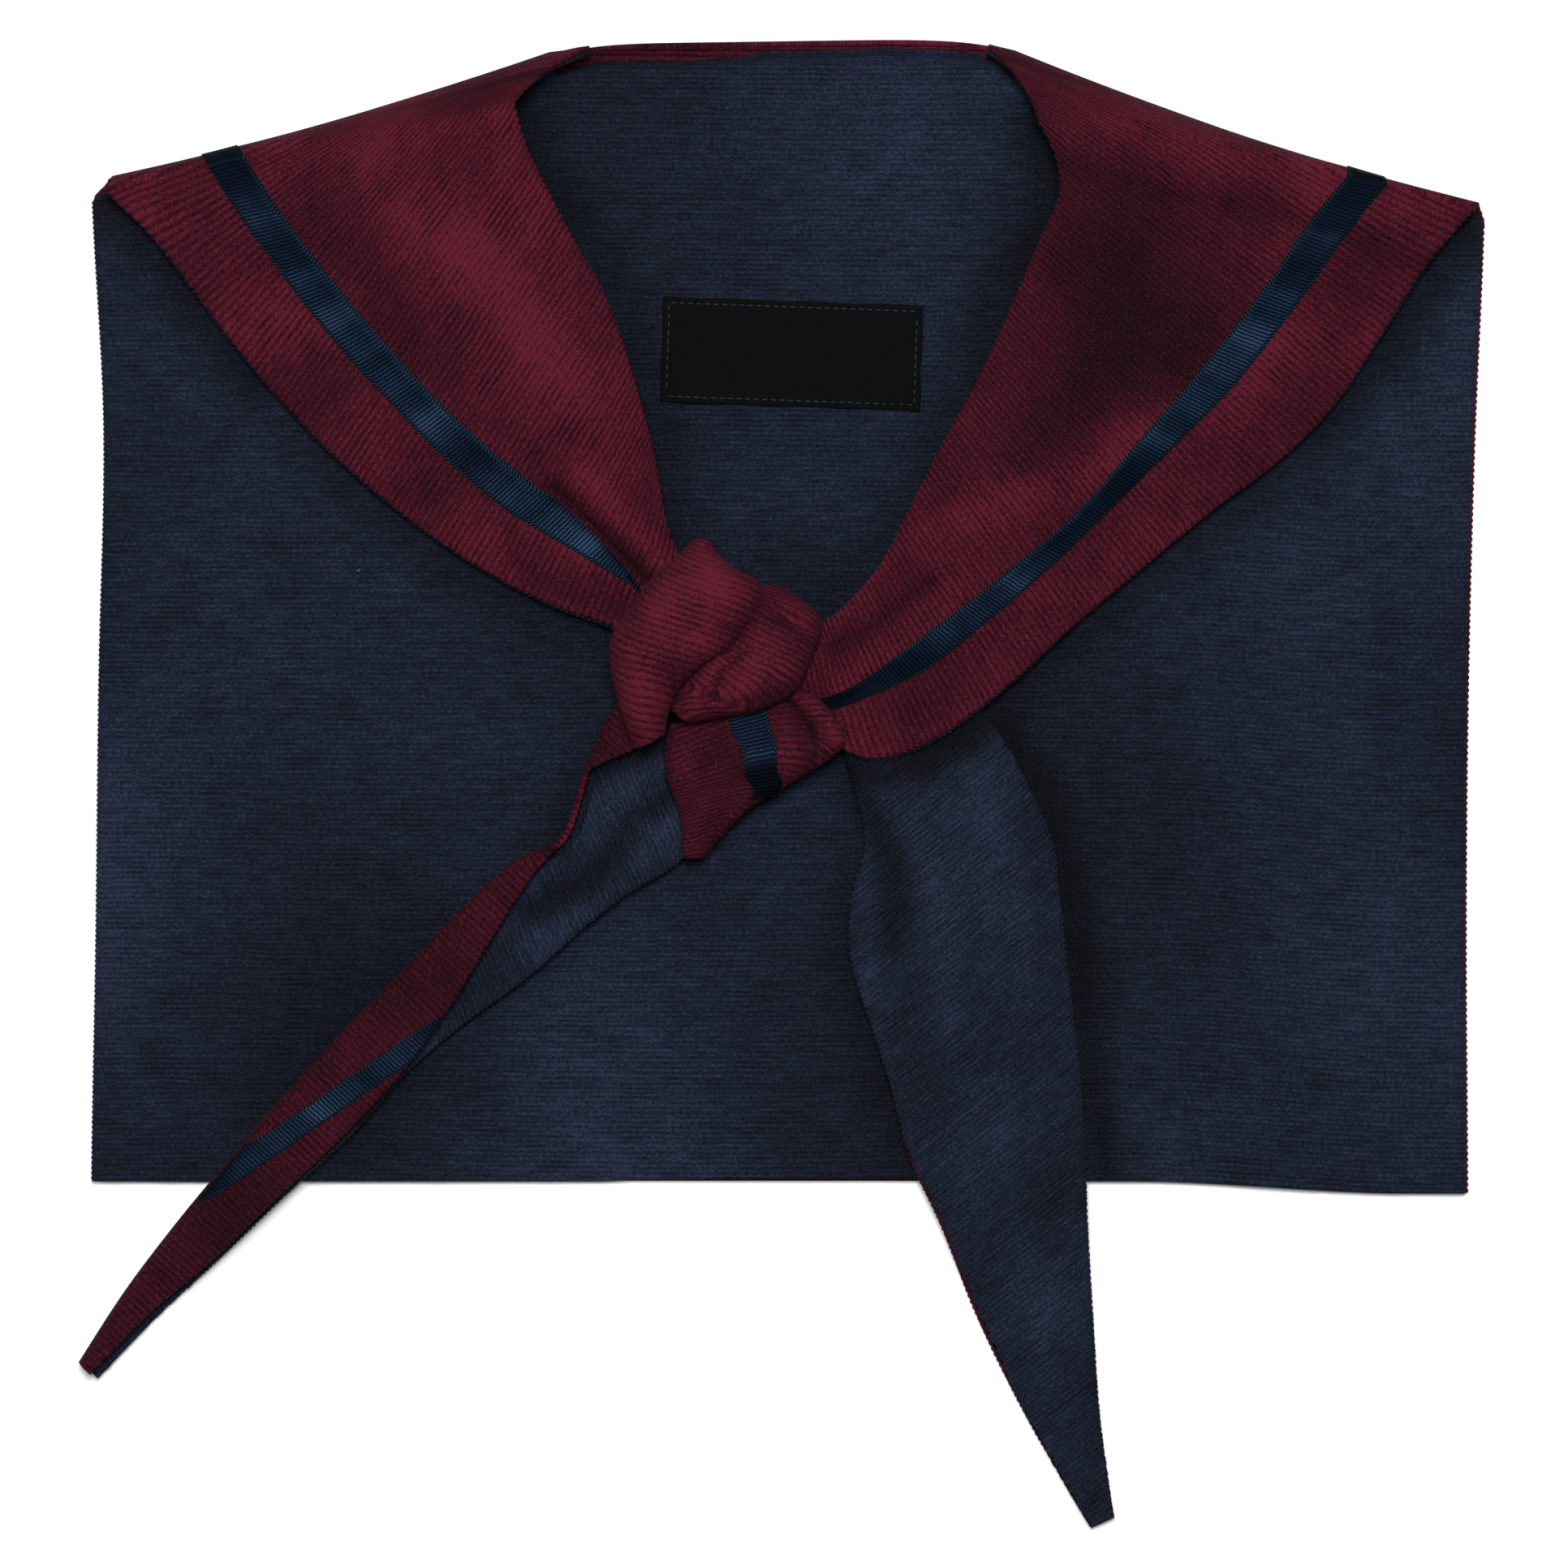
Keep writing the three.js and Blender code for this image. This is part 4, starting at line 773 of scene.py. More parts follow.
def makePanel(stripe):
    top = panel["neckHeight"]
    ribbonX = halfPanel - panel["ribbonInset"]
    nearRibbon = ribbonX + np.array([-9.5, -6.5, -halfRibbon, 0, halfRibbon, 6.5, 9.5])
    sideX = np.concatenate([
        [halfNeck + 2, 62, 66, 70, 74, 79, 84, 92, 100, 108, 116], nearRibbon, [157, 165, 169],
    ])
    halfArc = halfNeck + 0.9  # the neck's edge goes a little way into the rolls beside it
    neckX = np.linspace(-halfArc, halfArc, 31)
    columns = np.concatenate([[-halfPanel], -sideX[::-1], neckX, sideX, [halfPanel]])
    inNeck = np.abs(columns) <= halfArc
    rowCount = int(top / panel["rowStep"])
    rise = np.linspace(0, 1, rowCount)[:, None]
    neckEnd = frontPoints(leftFront, np.zeros(1), np.full(1, float(neckPlace)))
    neckRadius = (neckEnd[0, 2] - panelLevel) / 2
    starts = []
    for front in (leftFront, rightFront):
        a = np.linspace(0, neckPlace, 60)
        start = rollPoints(front, np.zeros(len(a)), a)
        order = np.argsort(start[:, 0])
        starts.append((start[order, 0], start[order, 1]))
    leftTop = np.interp(columns, *starts[0])
    rightTop = np.interp(columns, *starts[1])
    topY = np.where(inNeck, neckEdgeY(columns) - neckRadius, np.where(columns < 0, leftTop, rightTop))
    x = np.repeat(columns[None, :], rowCount, axis=0)
    y = mix(bottomY(columns)[None, :], topY[None, :], rise)
    swayFrom = panel["swayFrom"]
    for side in (-1, 1):
        isSide = np.sign(x) == side
        edge = side * sideEdge(side, y)
        outside = (np.abs(x) - swayFrom) / (halfPanel - swayFrom)
        x = np.where(isSide & (np.abs(x) > swayFrom), mix(side * swayFrom, edge, outside), x)
    z = panelZ(x, y)
    turns = np.linspace(0, math.pi / 3, 8)[1:, None]
    arcX = np.repeat(columns[None, :], len(turns), axis=0)
    arcY = np.where(inNeck, topY + neckRadius * np.sin(turns), topY + turns)
    arcZ = np.where(inNeck, panelLevel + neckRadius * (1 - np.cos(turns)), panelLevel)
    points = np.concatenate([stack(x, y, z), stack(arcX, arcY, arcZ)])
    keep = np.ones((len(points) - 1, len(columns) - 1), bool)
    keep[rowCount - 1:] = inNeck[:-1] & inNeck[1:]
    normals = normalsOf(points)
    normals[:rowCount - 1][:, ~inNeck] = normalsOf(points[:rowCount])[:rowCount - 1][:, ~inNeck]
    normals[rowCount - 1:, ~inNeck] = (0, 0, 1)
    wale = arcAlong(points) + rippleOn(points, "panelWale")
    nap = rippleOn(points, "panelNap") + foldsOn(points, coverShades())
    values = {"wale": wale, "along": points[..., 0], "nap": nap}
    piece, outer = makeLayer("outer", "backOuter", "back_outer", points, values, normals, keep)
    declareSheet(piece, outer, "laid", "floor", keep=keep, withPieces=[stripe])
    lift = panel["ripple"] * (0.5 + rippleOn(points, "panelLift"))
    lining = points + normals * lift[..., None]
    lining = trimmedGrid(lining, "left", -panel["liningOut"])
    lining = trimmedGrid(lining, "right", panel["edgeLap"])
    # a burgundy rim shows along part of the bottom edge and along the neck
    fromRim = np.maximum(columns - panel["rimUntil"], panel["rimFrom"] - columns)
    bottomLap = mix(panel["edgeLap"], -panel["liningOut"], smooth(fromRim / panel["rimFade"]))
    lining = trimmedGrid(lining, "first", bottomLap[:, None])
    lapShare = smooth((columns + panel["neckLapOver"]) / panel["neckLapOver"])
    neckLap = mix(panel["leftNeckLap"], panel["rightNeckLap"], lapShare)
    neckLap = neckLap + 0.35 * np.sin(columns * 0.31) * np.cos(columns * 0.13)
    for back in range(1, len(turns) + 1):
        share = 1 - (back - 1) / len(turns)
        pull = unit(points[-back - 1] - points[-back]) * (neckLap * share)[:, None]
        lining[-back] += pull
    inner, lining = makeLayer("lining", "backLining", "back_lining", lining, values, normals, keep)
    declareSheet(inner, lining, "laid", "backOuter", keep=keep)


def makeBackStripe():
    # one ribbon under the panel: up one side, across the bottom and up the other
    x0, y0 = halfPanel - panel["ribbonInset"], panel["ribbonInset"]
    tops = []
    for front in (leftFront, rightFront):
        tops.append(rollPoints(front, np.zeros(1), np.full(1, ribbonPlace))[0, 1])
    across = np.linspace(-1, 1, 5)
    rows, alongs = [], []
    travelled = 0
    corners = [(-x0, tops[0]), (-x0, y0), (x0, y0), (x0, tops[1])]
    mitre = [(0, 0), (-1, -1), (1, -1), (0, 0)]
    for k in range(3):
        (ax, ay), (bx, by) = corners[k], corners[k + 1]
        length = math.hypot(bx - ax, by - ay)
        outwardX, outwardY = ((-1, 0), (0, -1), (1, 0))[k]
        for share in np.linspace(0, 1, 30)[(0 if k == 0 else 1):]:
            shift = stack(outwardX * across, outwardY * across)
            for corner, near in ((k, share == 0), (k + 1, share == 1)):
                if near and corner in (1, 2):
                    shift = stack(mitre[corner][0] * across, mitre[corner][1] * across)
            place = np.array([mix(ax, bx, share), mix(ay, by, share)]) - shift * halfRibbon
            rows.append(stack(place[:, 0], place[:, 1], np.full(5, panelLevel + ribbonRaise)))
            alongs.append(travelled + share * length)
        travelled += length
    points = np.array(rows)
    normals = np.broadcast_to(np.array([0.0, 0.0, 1.0]), points.shape)
    middle = outerLayer[0] - cloth["ribbon"]
    layer = (middle - cloth["space"], middle + cloth["space"])
    values = {"along": np.array(alongs)[:, None], "across": across[None, :], "shaded": np.zeros((1, 1))}
    return makeRibbon("stripeBack", "ribbon_back", points[:, ::-1], values, layer, normals=normals)


# Label

label = {
    "width": 64, "height": 26, "thickness": 0.6, "shift": 1.8, "drop": 77.5, "tilt": -2,
    "round": 0.15, "lift": 0.35, "bow": 0.25, "sewnIn": 0.25, "sewnWidth": 0.7,
    "stitchInset": 1.5, "stitchStep": 2.1, "stitchLength": 1.5, "stitchWidth": 0.32, "stitchSink": 0.22,
    "stitchArch": 0.16,
}
labelLevel = panelLevel + liningLayer[1] + label["lift"]


def labelPlace(x, y):
    turn = math.radians(label["tilt"])
    return stack(
        label["shift"] + x * math.cos(turn) - y * math.sin(turn),
        panel["neckHeight"] - label["drop"] + x * math.sin(turn) + y * math.cos(turn),
    )


def makeLabel(stitches):
    x = np.linspace(-label["width"] / 2, label["width"] / 2, 60)[None, :]
    y = np.linspace(-label["height"] / 2, label["height"] / 2, 26)[:, None]
    # its edges bow a little between the stitches
    bowX = x + label["bow"] * np.sin(y * 0.5) * (np.abs(x) / label["width"])
    bowY = y + label["bow"] * np.sin(x * 0.33) * (np.abs(y) / label["height"])
    flat = labelPlace(bowX, bowY)
    inset = np.minimum(label["width"] / 2 - np.abs(x), label["height"] / 2 - np.abs(y))
    sewn = -label["sewnIn"] * np.exp(-((inset - label["stitchInset"]) / label["sewnWidth"]) ** 2)
    z = labelLevel + sewn + ripple(x, y, "label")
    points = stack(flat[..., 0], flat[..., 1], z)
    piece = clothPiece("labelCloth", points, (0.0, label["thickness"]), {"along": x, "across": y},
                       edgeRound=label["round"])
    finishPiece(piece, blackSatin, "black_satin", "label")
    declareSheet(piece, points, "laid", "backLining", withPieces=[stitches])


def threadMaterial():
    s = Shader("navyThread")
    along = s.value("along")
    twist = 0.5 + 0.5 * s.maths("SINE", along * 14)
    colour = s.blend(rgb(9, 13, 25), rgb(26, 35, 58), twist)
    return s.finish(colour, twist * 0.05, 0.6)


def tubes(name, lines, radius, material, slot, sides=6):
    # short threads and fibres as closed tubes that end in points
    verts, quads, alongs = [], [], []
    base = 0
    for line in lines:
        line = np.asarray(line, float)
        count = len(line)
        tangent = unit(np.gradient(line, axis=0))
        sideways = unit(np.cross(tangent, np.array([0.0, 0.0, 1.0]) + 1e-6))
        up = np.cross(sideways, tangent)
        taper = np.sin(np.linspace(0.12, math.pi - 0.12, count)) ** 0.35 * radius
        ring = np.linspace(0, 2 * math.pi, sides, endpoint=False)
        loop = (np.cos(ring)[None, :, None] * sideways[:, None] + np.sin(ring)[None, :, None] * up[:, None])
        verts.append((line[:, None] + loop * taper[:, None, None]).reshape(-1, 3))
        alongs.append(np.repeat(arcAlong(line), sides))
        for r in range(count - 1):
            for k in range(sides):
                n = (k + 1) % sides
                quads.append([base + r * sides + k, base + r * sides + n,
                              base + (r + 1) * sides + n, base + (r + 1) * sides + k])
        half = sides // 2
        for first in (0, count - 1):
            for k in range(half - 1):
                cap = [first * sides + i for i in (k, k + 1, sides - 2 - k, sides - 1 - k)]
                quads.append([base + i for i in (cap if first else cap[::-1])])
        base += count * sides
    piece = meshObject(name, np.concatenate(verts), np.array(quads), {"along": np.concatenate(alongs)})
    return finishPiece(piece, material, slot)


def makeLabelStitches(material):
    lines = []
    reachX = label["width"] / 2 - label["stitchInset"]
    reachY = label["height"] / 2 - label["stitchInset"]
    corners = [(-reachX, -reachY), (reachX, -reachY), (reachX, reachY), (-reachX, reachY)]
    for (ax, ay), (bx, by) in zip(corners, corners[1:] + corners[:1]):
        length = math.hypot(bx - ax, by - ay)
        for k in range(int(length / label["stitchStep"])):
            begin = (k + 0.2) * label["stitchStep"] / length
            end = begin + label["stitchLength"] / length
            share = np.linspace(begin, end, 5)
            flat = labelPlace(mix(ax, bx, share), mix(ay, by, share))
            z = labelLevel + label["thickness"] - label["stitchSink"]
            arch = label["stitchArch"] * np.sin(np.linspace(0, math.pi, 5))
            lines.append(stack(flat[:, 0], flat[:, 1], z + arch))
    return tubes("labelStitches", lines, label["stitchWidth"] / 2, material, "navy_cord")


# Knot

knot = {"width": 58, "length": 80, "height": 22, "shift": -14, "rise": 0.427}
knotX, knotY = knot["shift"], knot["rise"] * panel["neckHeight"]

# Bands of the knot from one end to the other. Places are shares of half the knot's width and length from
# its middle, heights are shares of its height above the fronts.
# the last number of each band lightens or darkens all of it as painted light and shade: the wrap on top
# lighter, the flap below darker
wrapBand = {
    "leftX": [-0.29, -0.39, -0.57, -0.7, -0.83, -0.95, -1.0, -0.98, -0.93, -0.86, -0.77],
    "leftY": [0.92, 0.85, 0.73, 0.635, 0.5, 0.385, 0.25, 0.11, -0.04, -0.2, -0.35],
    "leftZ": [0.34, 0.34, 0.34, 0.32, 0.26, 0.23, 0.22, 0.24, 0.3, 0.33, 0.34],
    "crown": [0.46, 0.62, 0.78, 0.85, 0.9, 0.92, 0.92, 0.88, 0.8, 0.66, 0.46],
    "rightX": [-0.12, -0.06, 0.12, 0.28, 0.28, 0.16, 0.05, -0.19, -0.36, -0.485, -0.53],
    "rightY": [0.92, 0.82, 0.72, 0.65, 0.52, 0.4, 0.29, 0.19, 0.07, -0.08, -0.23],
    "rightZ": [0.34, 0.34, 0.4, 0.46, 0.54, 0.58, 0.6, 0.6, 0.56, 0.46, 0.38],
    "wales": [24, 24, 22, 20, 18, 17, 17, 18, 21, 25, 30], "nap": 0.6,
}
foldBand = {
    "leftX": [0.22, 0.18, 0.08, -0.04, -0.22, -0.36, -0.46, -0.48],
    "leftY": [0.65, 0.53, 0.4, 0.28, 0.18, 0.08, -0.02, -0.1],
    "leftZ": [0.32, 0.38, 0.4, 0.4, 0.4, 0.4, 0.38, 0.36],
    "crown": [0.44, 0.66, 0.76, 0.8, 0.8, 0.76, 0.68, 0.54],
    "rightX": [0.48, 0.77, 0.78, 0.69, 0.57, 0.3, 0.0, -0.3],
    "rightY": [0.62, 0.46, 0.34, 0.18, 0.01, -0.09, -0.13, -0.17],
    "rightZ": [0.32, 0.32, 0.31, 0.32, 0.36, 0.4, 0.41, 0.38],
    "wales": [30, 28, 22, 12, 12, 20, 40, 50], "nap": 0.2,
}
flapBand = {
    "leftX": [-0.47, -0.53, -0.51, -0.45, -0.39, -0.37],
    "leftY": [-0.2, -0.34, -0.52, -0.655, -0.82, -1.03],
    "leftZ": [0.22, 0.23, 0.21, 0.2, 0.2, 0.22],
    "crown": [0.27, 0.38, 0.5, 0.42, 0.34, 0.26],
    "rightX": [0.56, 0.82, 0.99, 0.6, 0.17, -0.2],
    "rightY": [0.02, -0.07, -0.29, -0.5, -0.69, -0.98],
    "rightZ": [0.27, 0.36, 0.36, 0.26, 0.2, 0.2],
    "wales": [-8, -8, -9, -10, -10, -8], "bend": 42, "nap": -0.4,
}


def bandPoints(band, t, s, full=1.0):
    at = {key: between(band[key], t) for key in band if key not in ("wales", "bend", "nap")}
    left = stack(knotX + at["leftX"] * knot["width"] / 2, knotY + at["leftY"] * knot["length"] / 2)
    right = stack(knotX + at["rightX"] * knot["width"] / 2, knotY + at["rightY"] * knot["length"] / 2)
    inset = unit(right - left) * -outerLayer[0]
    across = ((1 - np.cos(math.pi * s)) / 2)[..., None]
    flat = mix(left + inset, right - inset, across)
    edgeZ = mix(at["leftZ"], at["rightZ"], across[..., 0])
    z = edgeZ + (at["crown"] - edgeZ) * np.sin(math.pi * s) ** full
    return stack(flat[..., 0], flat[..., 1], frontLevel + knot["height"] * z)


def bandWale(points, band, t, s):
    # lengths over the band's own surface, so that the wales bunch up where it turns down
    step = np.linalg.norm(np.diff(points, axis=1, prepend=points[:, :1]), axis=-1)
    along = arcAlong(points[:, points.shape[1] // 2])[:, None]
    turn = np.radians(between(band["wales"], t) + 0 * s)
    bent = turn + np.radians(band.get("bend", 0)) * smooth((s - 0.4) / 0.5)
    fall = np.cumsum(step * np.sin(bent), axis=1)
    middle = fall.shape[1] // 2
    return along * np.cos(turn) - (fall - fall[:, middle:middle + 1]), np.cumsum(step * np.cos(bent), axis=1)


def makeBand(name, node, band, rows, columns, folds, full, restsOn, *withPieces):
    t = np.linspace(0, 1, rows)[:, None]
    grid = np.broadcast_to(np.linspace(0, 1, columns)[None, :], (rows, columns))
    points = bandPoints(band, t, grid, full)
    points[..., 2] += foldsOn(points, folds) * np.sin(math.pi * grid) ** 0.5
    wale, along = bandWale(points, band, t, grid)
    nap = band["nap"] + rippleOn(points, "bandNap") + cloth["creaseShade"] * foldsOn(points, folds)
    values = {"wale": wale, "along": along, "nap": nap}
    piece, outer = makeLayer("both", name, node, points, values, normalsOf(points))
    declareSheet(piece, outer, "gathered", *restsOn, withPieces=withPieces)


knotFolds = {
    "wrap": [
        {"line": [(-6, 144), (-10, 136), (-17, 129)], "height": -0.8, "width": 1.8},
        {"line": [(-17, 150), (-12, 142), (-20, 132)], "height": 0.5, "width": 3},
        {"line": [(-38, 128), (-34, 118), (-31, 108)], "height": 0.6, "width": 3},
        {"line": [(-36, 136), (-28, 126)], "height": -0.4, "width": 4},
    ],
    "fold": [
        {"line": [(-9, 129.5), (-15, 125), (-17, 119)], "height": -1.7, "width": 1.5},
        {"line": [(-16, 128), (-21, 121), (-22, 116)], "height": 0.9, "width": 1.6},
        {"line": [(-4, 139), (4, 134)], "height": -0.9, "width": 1.8},
        {"line": [(0, 141), (7, 134)], "height": 0.8, "width": 2.2},
        {"line": [(-10, 121), (-2, 124), (5, 128)], "height": 0.8, "width": 2.2},
        {"line": [(-14, 117), (-6, 119)], "height": -0.7, "width": 1.4},
    ],
    "flap": [
        {"line": [(0, 119), (5.8, 113.1), (7.5, 109)], "height": -2.6, "width": 1.5},
        {"line": [(3.5, 121), (9, 114), (12.9, 109)], "height": 1.8, "width": 2.2},
        {"line": [(-2, 116), (2, 108), (3, 102)], "height": 0.9, "width": 2.4},
        {"line": [(-26, 104), (-20, 92), (-25, 82)], "height": 0.9, "width": 3},
        {"line": [(-15, 110), (-12, 100), (-16, 90)], "height": -0.8, "width": 2.5},
    ],
}
flapStripe = {
    "left": [0.45, 0.45, 0.49, 0.68], "right": [0.64, 0.585, 0.63, 0.95], "from": 0.1, "until": 0.7,
    "shadeFrom": 0.45, "shadeOver": 0.2,
}


def makeKnotInside():
    # gathered cloth that fills the knot between its bands
    low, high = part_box("knot_core")
    centre = (np.array([(low[i] + high[i]) / 2 for i in range(3)]) - frameShift) * 1000
    reach = np.array([(high[i] - low[i]) / 2 for i in range(3)]) * 1000 * np.array([1.15, 1.15, 1.0])
    ring = np.linspace(0, 2 * math.pi, 49)
    lift = np.linspace(-math.pi / 2 + 0.05, math.pi / 2 - 0.05, 25)[:, None]
    swell = 1 + 0.1 * np.sin(ring * 5 + 2 * lift) + 0.05 * np.sin(ring * 9)
    x, y, z = (np.cos(lift) * np.cos(ring) * swell, np.cos(lift) * np.sin(ring) * swell,
               np.sin(lift) + 0 * ring)
    points = stack(x, y, z) * reach + centre
    grid = points[:, :-1].reshape(-1, 3)
    rows, columns = len(lift), len(ring) - 1
    number = np.arange(rows * columns).reshape(rows, columns)
    around = np.roll(number, -1, axis=1)
    quads = np.stack([number[:-1], around[:-1], around[1:], number[1:]], axis=-1).reshape(-1, 4)
    caps = []
    for row, flip in ((0, True), (rows - 1, False)):
        loop = number[row]
        for k in range(columns // 2 - 1):
            cap = [loop[k], loop[k + 1], loop[columns - 2 - k], loop[columns - 1 - k]]
            caps.append(cap[::-1] if flip else cap)
    wale = grid[:, 0] * 0.5 + grid[:, 1]
    # painted shade: the cloth inside the knot is darkened all over
    piece = meshObject("knotInside", grid, np.concatenate([quads, np.array(caps)]),
                       {"wale": wale, "along": grid[:, 0], "nap": np.full(len(grid), -0.6)})
    return finishPiece(piece, burgundyCord, "burgundy_cord", "knot_core")


def makeFlapStripe():
    t = np.linspace(0, 1, 60)[:, None]
    share = np.linspace(0, 1, 7)[None, :]
    s = mix(between(flapStripe["left"], t), between(flapStripe["right"], t), share)
    reach = np.broadcast_to(mix(flapStripe["from"], flapStripe["until"], t), s.shape)
    points = bandPoints(flapBand, reach, s, 0.75)
    points[..., 2] += foldsOn(points, knotFolds["flap"]) * np.sin(math.pi * s) ** 0.5
    length = arcAlong(points[:, 3])[:, None]
    shaded = smooth((t - flapStripe["shadeFrom"]) / flapStripe["shadeOver"])
    values = {"along": length, "across": mix(-1, 1, share), "shaded": shaded}
    return makeRibbon("stripeKnot", "knot_flap_ribbon", points, values)


def makeKnot():
    makeKnotInside()
    makeBand("knotWrap", "knot_wrap", wrapBand, 120, 60, knotFolds["wrap"], 0.8,
             ["knotFold", "frontLeftOuter"])
    makeBand("knotFold", "knot_fold", foldBand, 90, 50, knotFolds["fold"], 0.8, ["knotInside", "knotFlap"])
    makeBand("knotFlap", "knot_flap", flapBand, 100, 50, knotFolds["flap"], 0.75, ["tailLeftLining"],
             makeFlapStripe())


# Tails, measured from the knot's middle. Lengths along and across are shares of length and width.
knotShade = {
    "line": [(10, 101), (25, 101), (35, 104.5), (45, 111), (54, 122)], "height": -2.0, "width": 5,
}
leftTail = {
    "length": 229, "width": 25, "angle": 226.8, "foldRadius": 2, "stepStart": 1, "stepDown": 30, "rows": 420,
    "outerWale": 137, "liningWale": 112, "flapShade": 0.8,
    "along": [0.085, 0.12, 0.165, 0.235, 0.29, 0.37, 0.45, 0.53, 0.62, 0.72, 0.82, 0.91, 1],
    "left": [-0.74, -0.66, -0.51, -0.23, -0.41, -0.46, -0.47, -0.48, -0.48, -0.44, -0.385, -0.3, -0.15],
    "right": [0.5, 0.65, 0.8, 0.63, 0.55, 0.49, 0.35, 0.27, 0.29, 0.22, 0.17, 0.11, 0.1],
    "flap": [-0.2, -0.3, -0.45, -0.2, -0.15, -0.01, 0.14, 0.23, 0.24, 0.18, 0.13, 0.04, 0.02],
    "lift": [0, 0, 0.02, 0.04, 0.06, 0.06, 0.04, 0.02, 0, 0, 0, 0, 0],
    "folds": [
        {"line": [(-46, 100), (-34, 104.5), (-22, 108.5)], "height": -1.8, "width": 1.8},
        {"line": [(-21, 98), (-37, 88), (-47, 74), (-62, 66)], "height": -2.2, "width": 3.2},
        {"line": [(-32, 104), (-45, 93), (-58, 80), (-74, 68)], "height": 1.1, "width": 4},
        {"line": [(-26, 90), (-34, 80), (-44, 68), (-60, 58)], "height": 1.4, "width": 4},
    ],
}
rightTail = {
    "length": 224, "width": 53, "angle": -65.7, "rows": 400, "wale": 38,
    "liningOut": 0.5, "rim": 0.96, "rimFrom": 0.42, "rimOver": 0.3,
    "leftAlong": [0.05, 0.12, 0.21, 0.265, 0.32, 0.39, 0.465, 0.54, 0.63, 0.74, 0.85, 0.95, 1],
    "left": [0.42, 0.38, 0.3, 0.13, 0.02, -0.02, -0.06, -0.12, -0.12, -0.14, -0.125, -0.085, -0.06],
    "rightAlong": [0.06, 0.14, 0.28, 0.36, 0.42, 0.48, 0.545, 0.62, 0.69, 0.79, 0.885, 0.97, 1],
    "right": [0.81, 1.05, 1.1, 1.01, 0.93, 0.85, 0.76, 0.64, 0.52, 0.36, 0.21, 0.1, 0.065],
    "lift": [0, 0.02, 0.1, 0.12, 0.1, 0.08, 0.05, 0.02, 0, 0, 0, 0, 0],
    "folds": [
        {"line": [(13, 103), (20, 90), (27.5, 77), (26, 58)], "height": -2.2, "width": 3.4},
        {"line": [(24, 104), (33, 84), (38, 60), (40, 36)], "height": 1.4, "width": 6},
        {"line": [(16, 84), (22, 66), (22, 46)], "height": 1.0, "width": 3.5},
        {"line": [(46, 100), (54, 78), (58, 52)], "height": 0.7, "width": 5},
        {"line": [(52, 20), (62, -30), (70, -60)], "height": 0.4, "width": 4},
    ],
}


def tailZ(x, y, lift):
    past = bottomY(x) - y - leftTail["stepStart"]
    return mix(tailLevel, panelLevel, smooth(past / leftTail["stepDown"])) + frontLoft * lift


def tailPlace(angle, along, across):
    turn = math.radians(angle)
    dx, dy = math.cos(turn), math.sin(turn)
    return stack(knotX + dx * along - dy * across, knotY + dy * along + dx * across)


def makeRightTail():
    t = np.linspace(1, 0, rightTail["rows"])[:, None]
    s = np.linspace(0, 1, 25)[None, :]
    ends = [tailPlace(rightTail["angle"], between(rightTail[side + "Along"], t) * rightTail["length"],
                      between(rightTail[side], t) * rightTail["width"]) for side in ("left", "right")]
    flat = mix(ends[0], ends[1], s[..., None])
    x, y = flat[..., 0], flat[..., 1]
    z = tailZ(x, y, between(rightTail["lift"], t) * np.sin(math.pi * s))
    z = z + foldHeight(x, y, rightTail["folds"]) * np.sin(math.pi * s) ** 0.6 * smooth(t * 12 - 0.2)
    points = stack(x, y, z)
    normals = normalsOf(points)
    wale, along = planarWale(points, rightTail["wale"])
    nap = rippleOn(points, "rightTailNap") + cloth["creaseShade"] * foldsOn(points, rightTail["folds"])
    values = {"wale": wale, "along": along, "nap": nap + foldsOn(points, [knotShade])}
    piece, outer = makeLayer("outer", "tailRightOuter", "tail_right_outer", points, values, normals)
    declareSheet(piece, outer, "laid", "backLining", "floor")
    # the lining covers the left edge near the knot, and a burgundy rim shows along it towards the tip
    share = smooth((t - rightTail["rimFrom"]) / rightTail["rimOver"])
    lining = trimmedGrid(points, "left", mix(-rightTail["liningOut"], rightTail["rim"], share))
    inner, lining = makeLayer("lining", "tailRightLining", "tail_right_lining", lining, values, normals)
    declareSheet(inner, lining, "laid", "tailRightOuter")


def leftTailGrid(t):
    at = {key: between(leftTail[key], t) for key in ("along", "left", "right", "flap", "lift")}
    radius = leftTail["foldRadius"]
    foldMiddle = at["left"] * leftTail["width"] - outerLayer[0] + radius
    # where the cloth that is folded over is too short to lie flat, it only curls up
    over = at["flap"] * leftTail["width"] - foldMiddle
    flapEnd = foldMiddle + np.maximum(over, radius / 6)
    curl = np.clip((radius / 6 - over) / (2.2 * radius), 0, 0.55) * math.pi
    rightEnd = at["right"] * leftTail["width"]
    places = []
    for s in np.linspace(1, 0, 10)[:-1]:
        flatOver = mix(foldMiddle, flapEnd, s)
        lying = 1 - smooth(curl / 0.3)
        curled = foldMiddle - radius * np.sin(curl) + s * radius / 6
        places.append((mix(curled, flatOver, lying), radius * (1 + np.cos(curl)), s))
    for share in np.linspace(0, 1, 9):
        turn = mix(curl, math.pi, share)
        places.append((foldMiddle - radius * np.sin(turn), radius * (1 + np.cos(turn)), 0))
    for s in np.linspace(0, 1, 16)[1:]:
        places.append((mix(foldMiddle, rightEnd, s), 0 * foldMiddle, s))
    across = np.concatenate([p[0] for p in places], axis=1)
    up = np.concatenate([p[1] for p in places], axis=1)
    flat = tailPlace(leftTail["angle"], at["along"] * leftTail["length"], across)
    bulge = np.sin(math.pi * np.clip((across - foldMiddle) / (rightEnd - foldMiddle), 0, 1))
    z = tailZ(flat[..., 0], flat[..., 1], at["lift"] * bulge) + up
    folds = foldHeight(flat[..., 0], flat[..., 1], leftTail["folds"]) * bulge ** 0.7
    base = (up < radius)
    z = z + folds * base
    return stack(flat[..., 0], flat[..., 1], z), at, foldMiddle


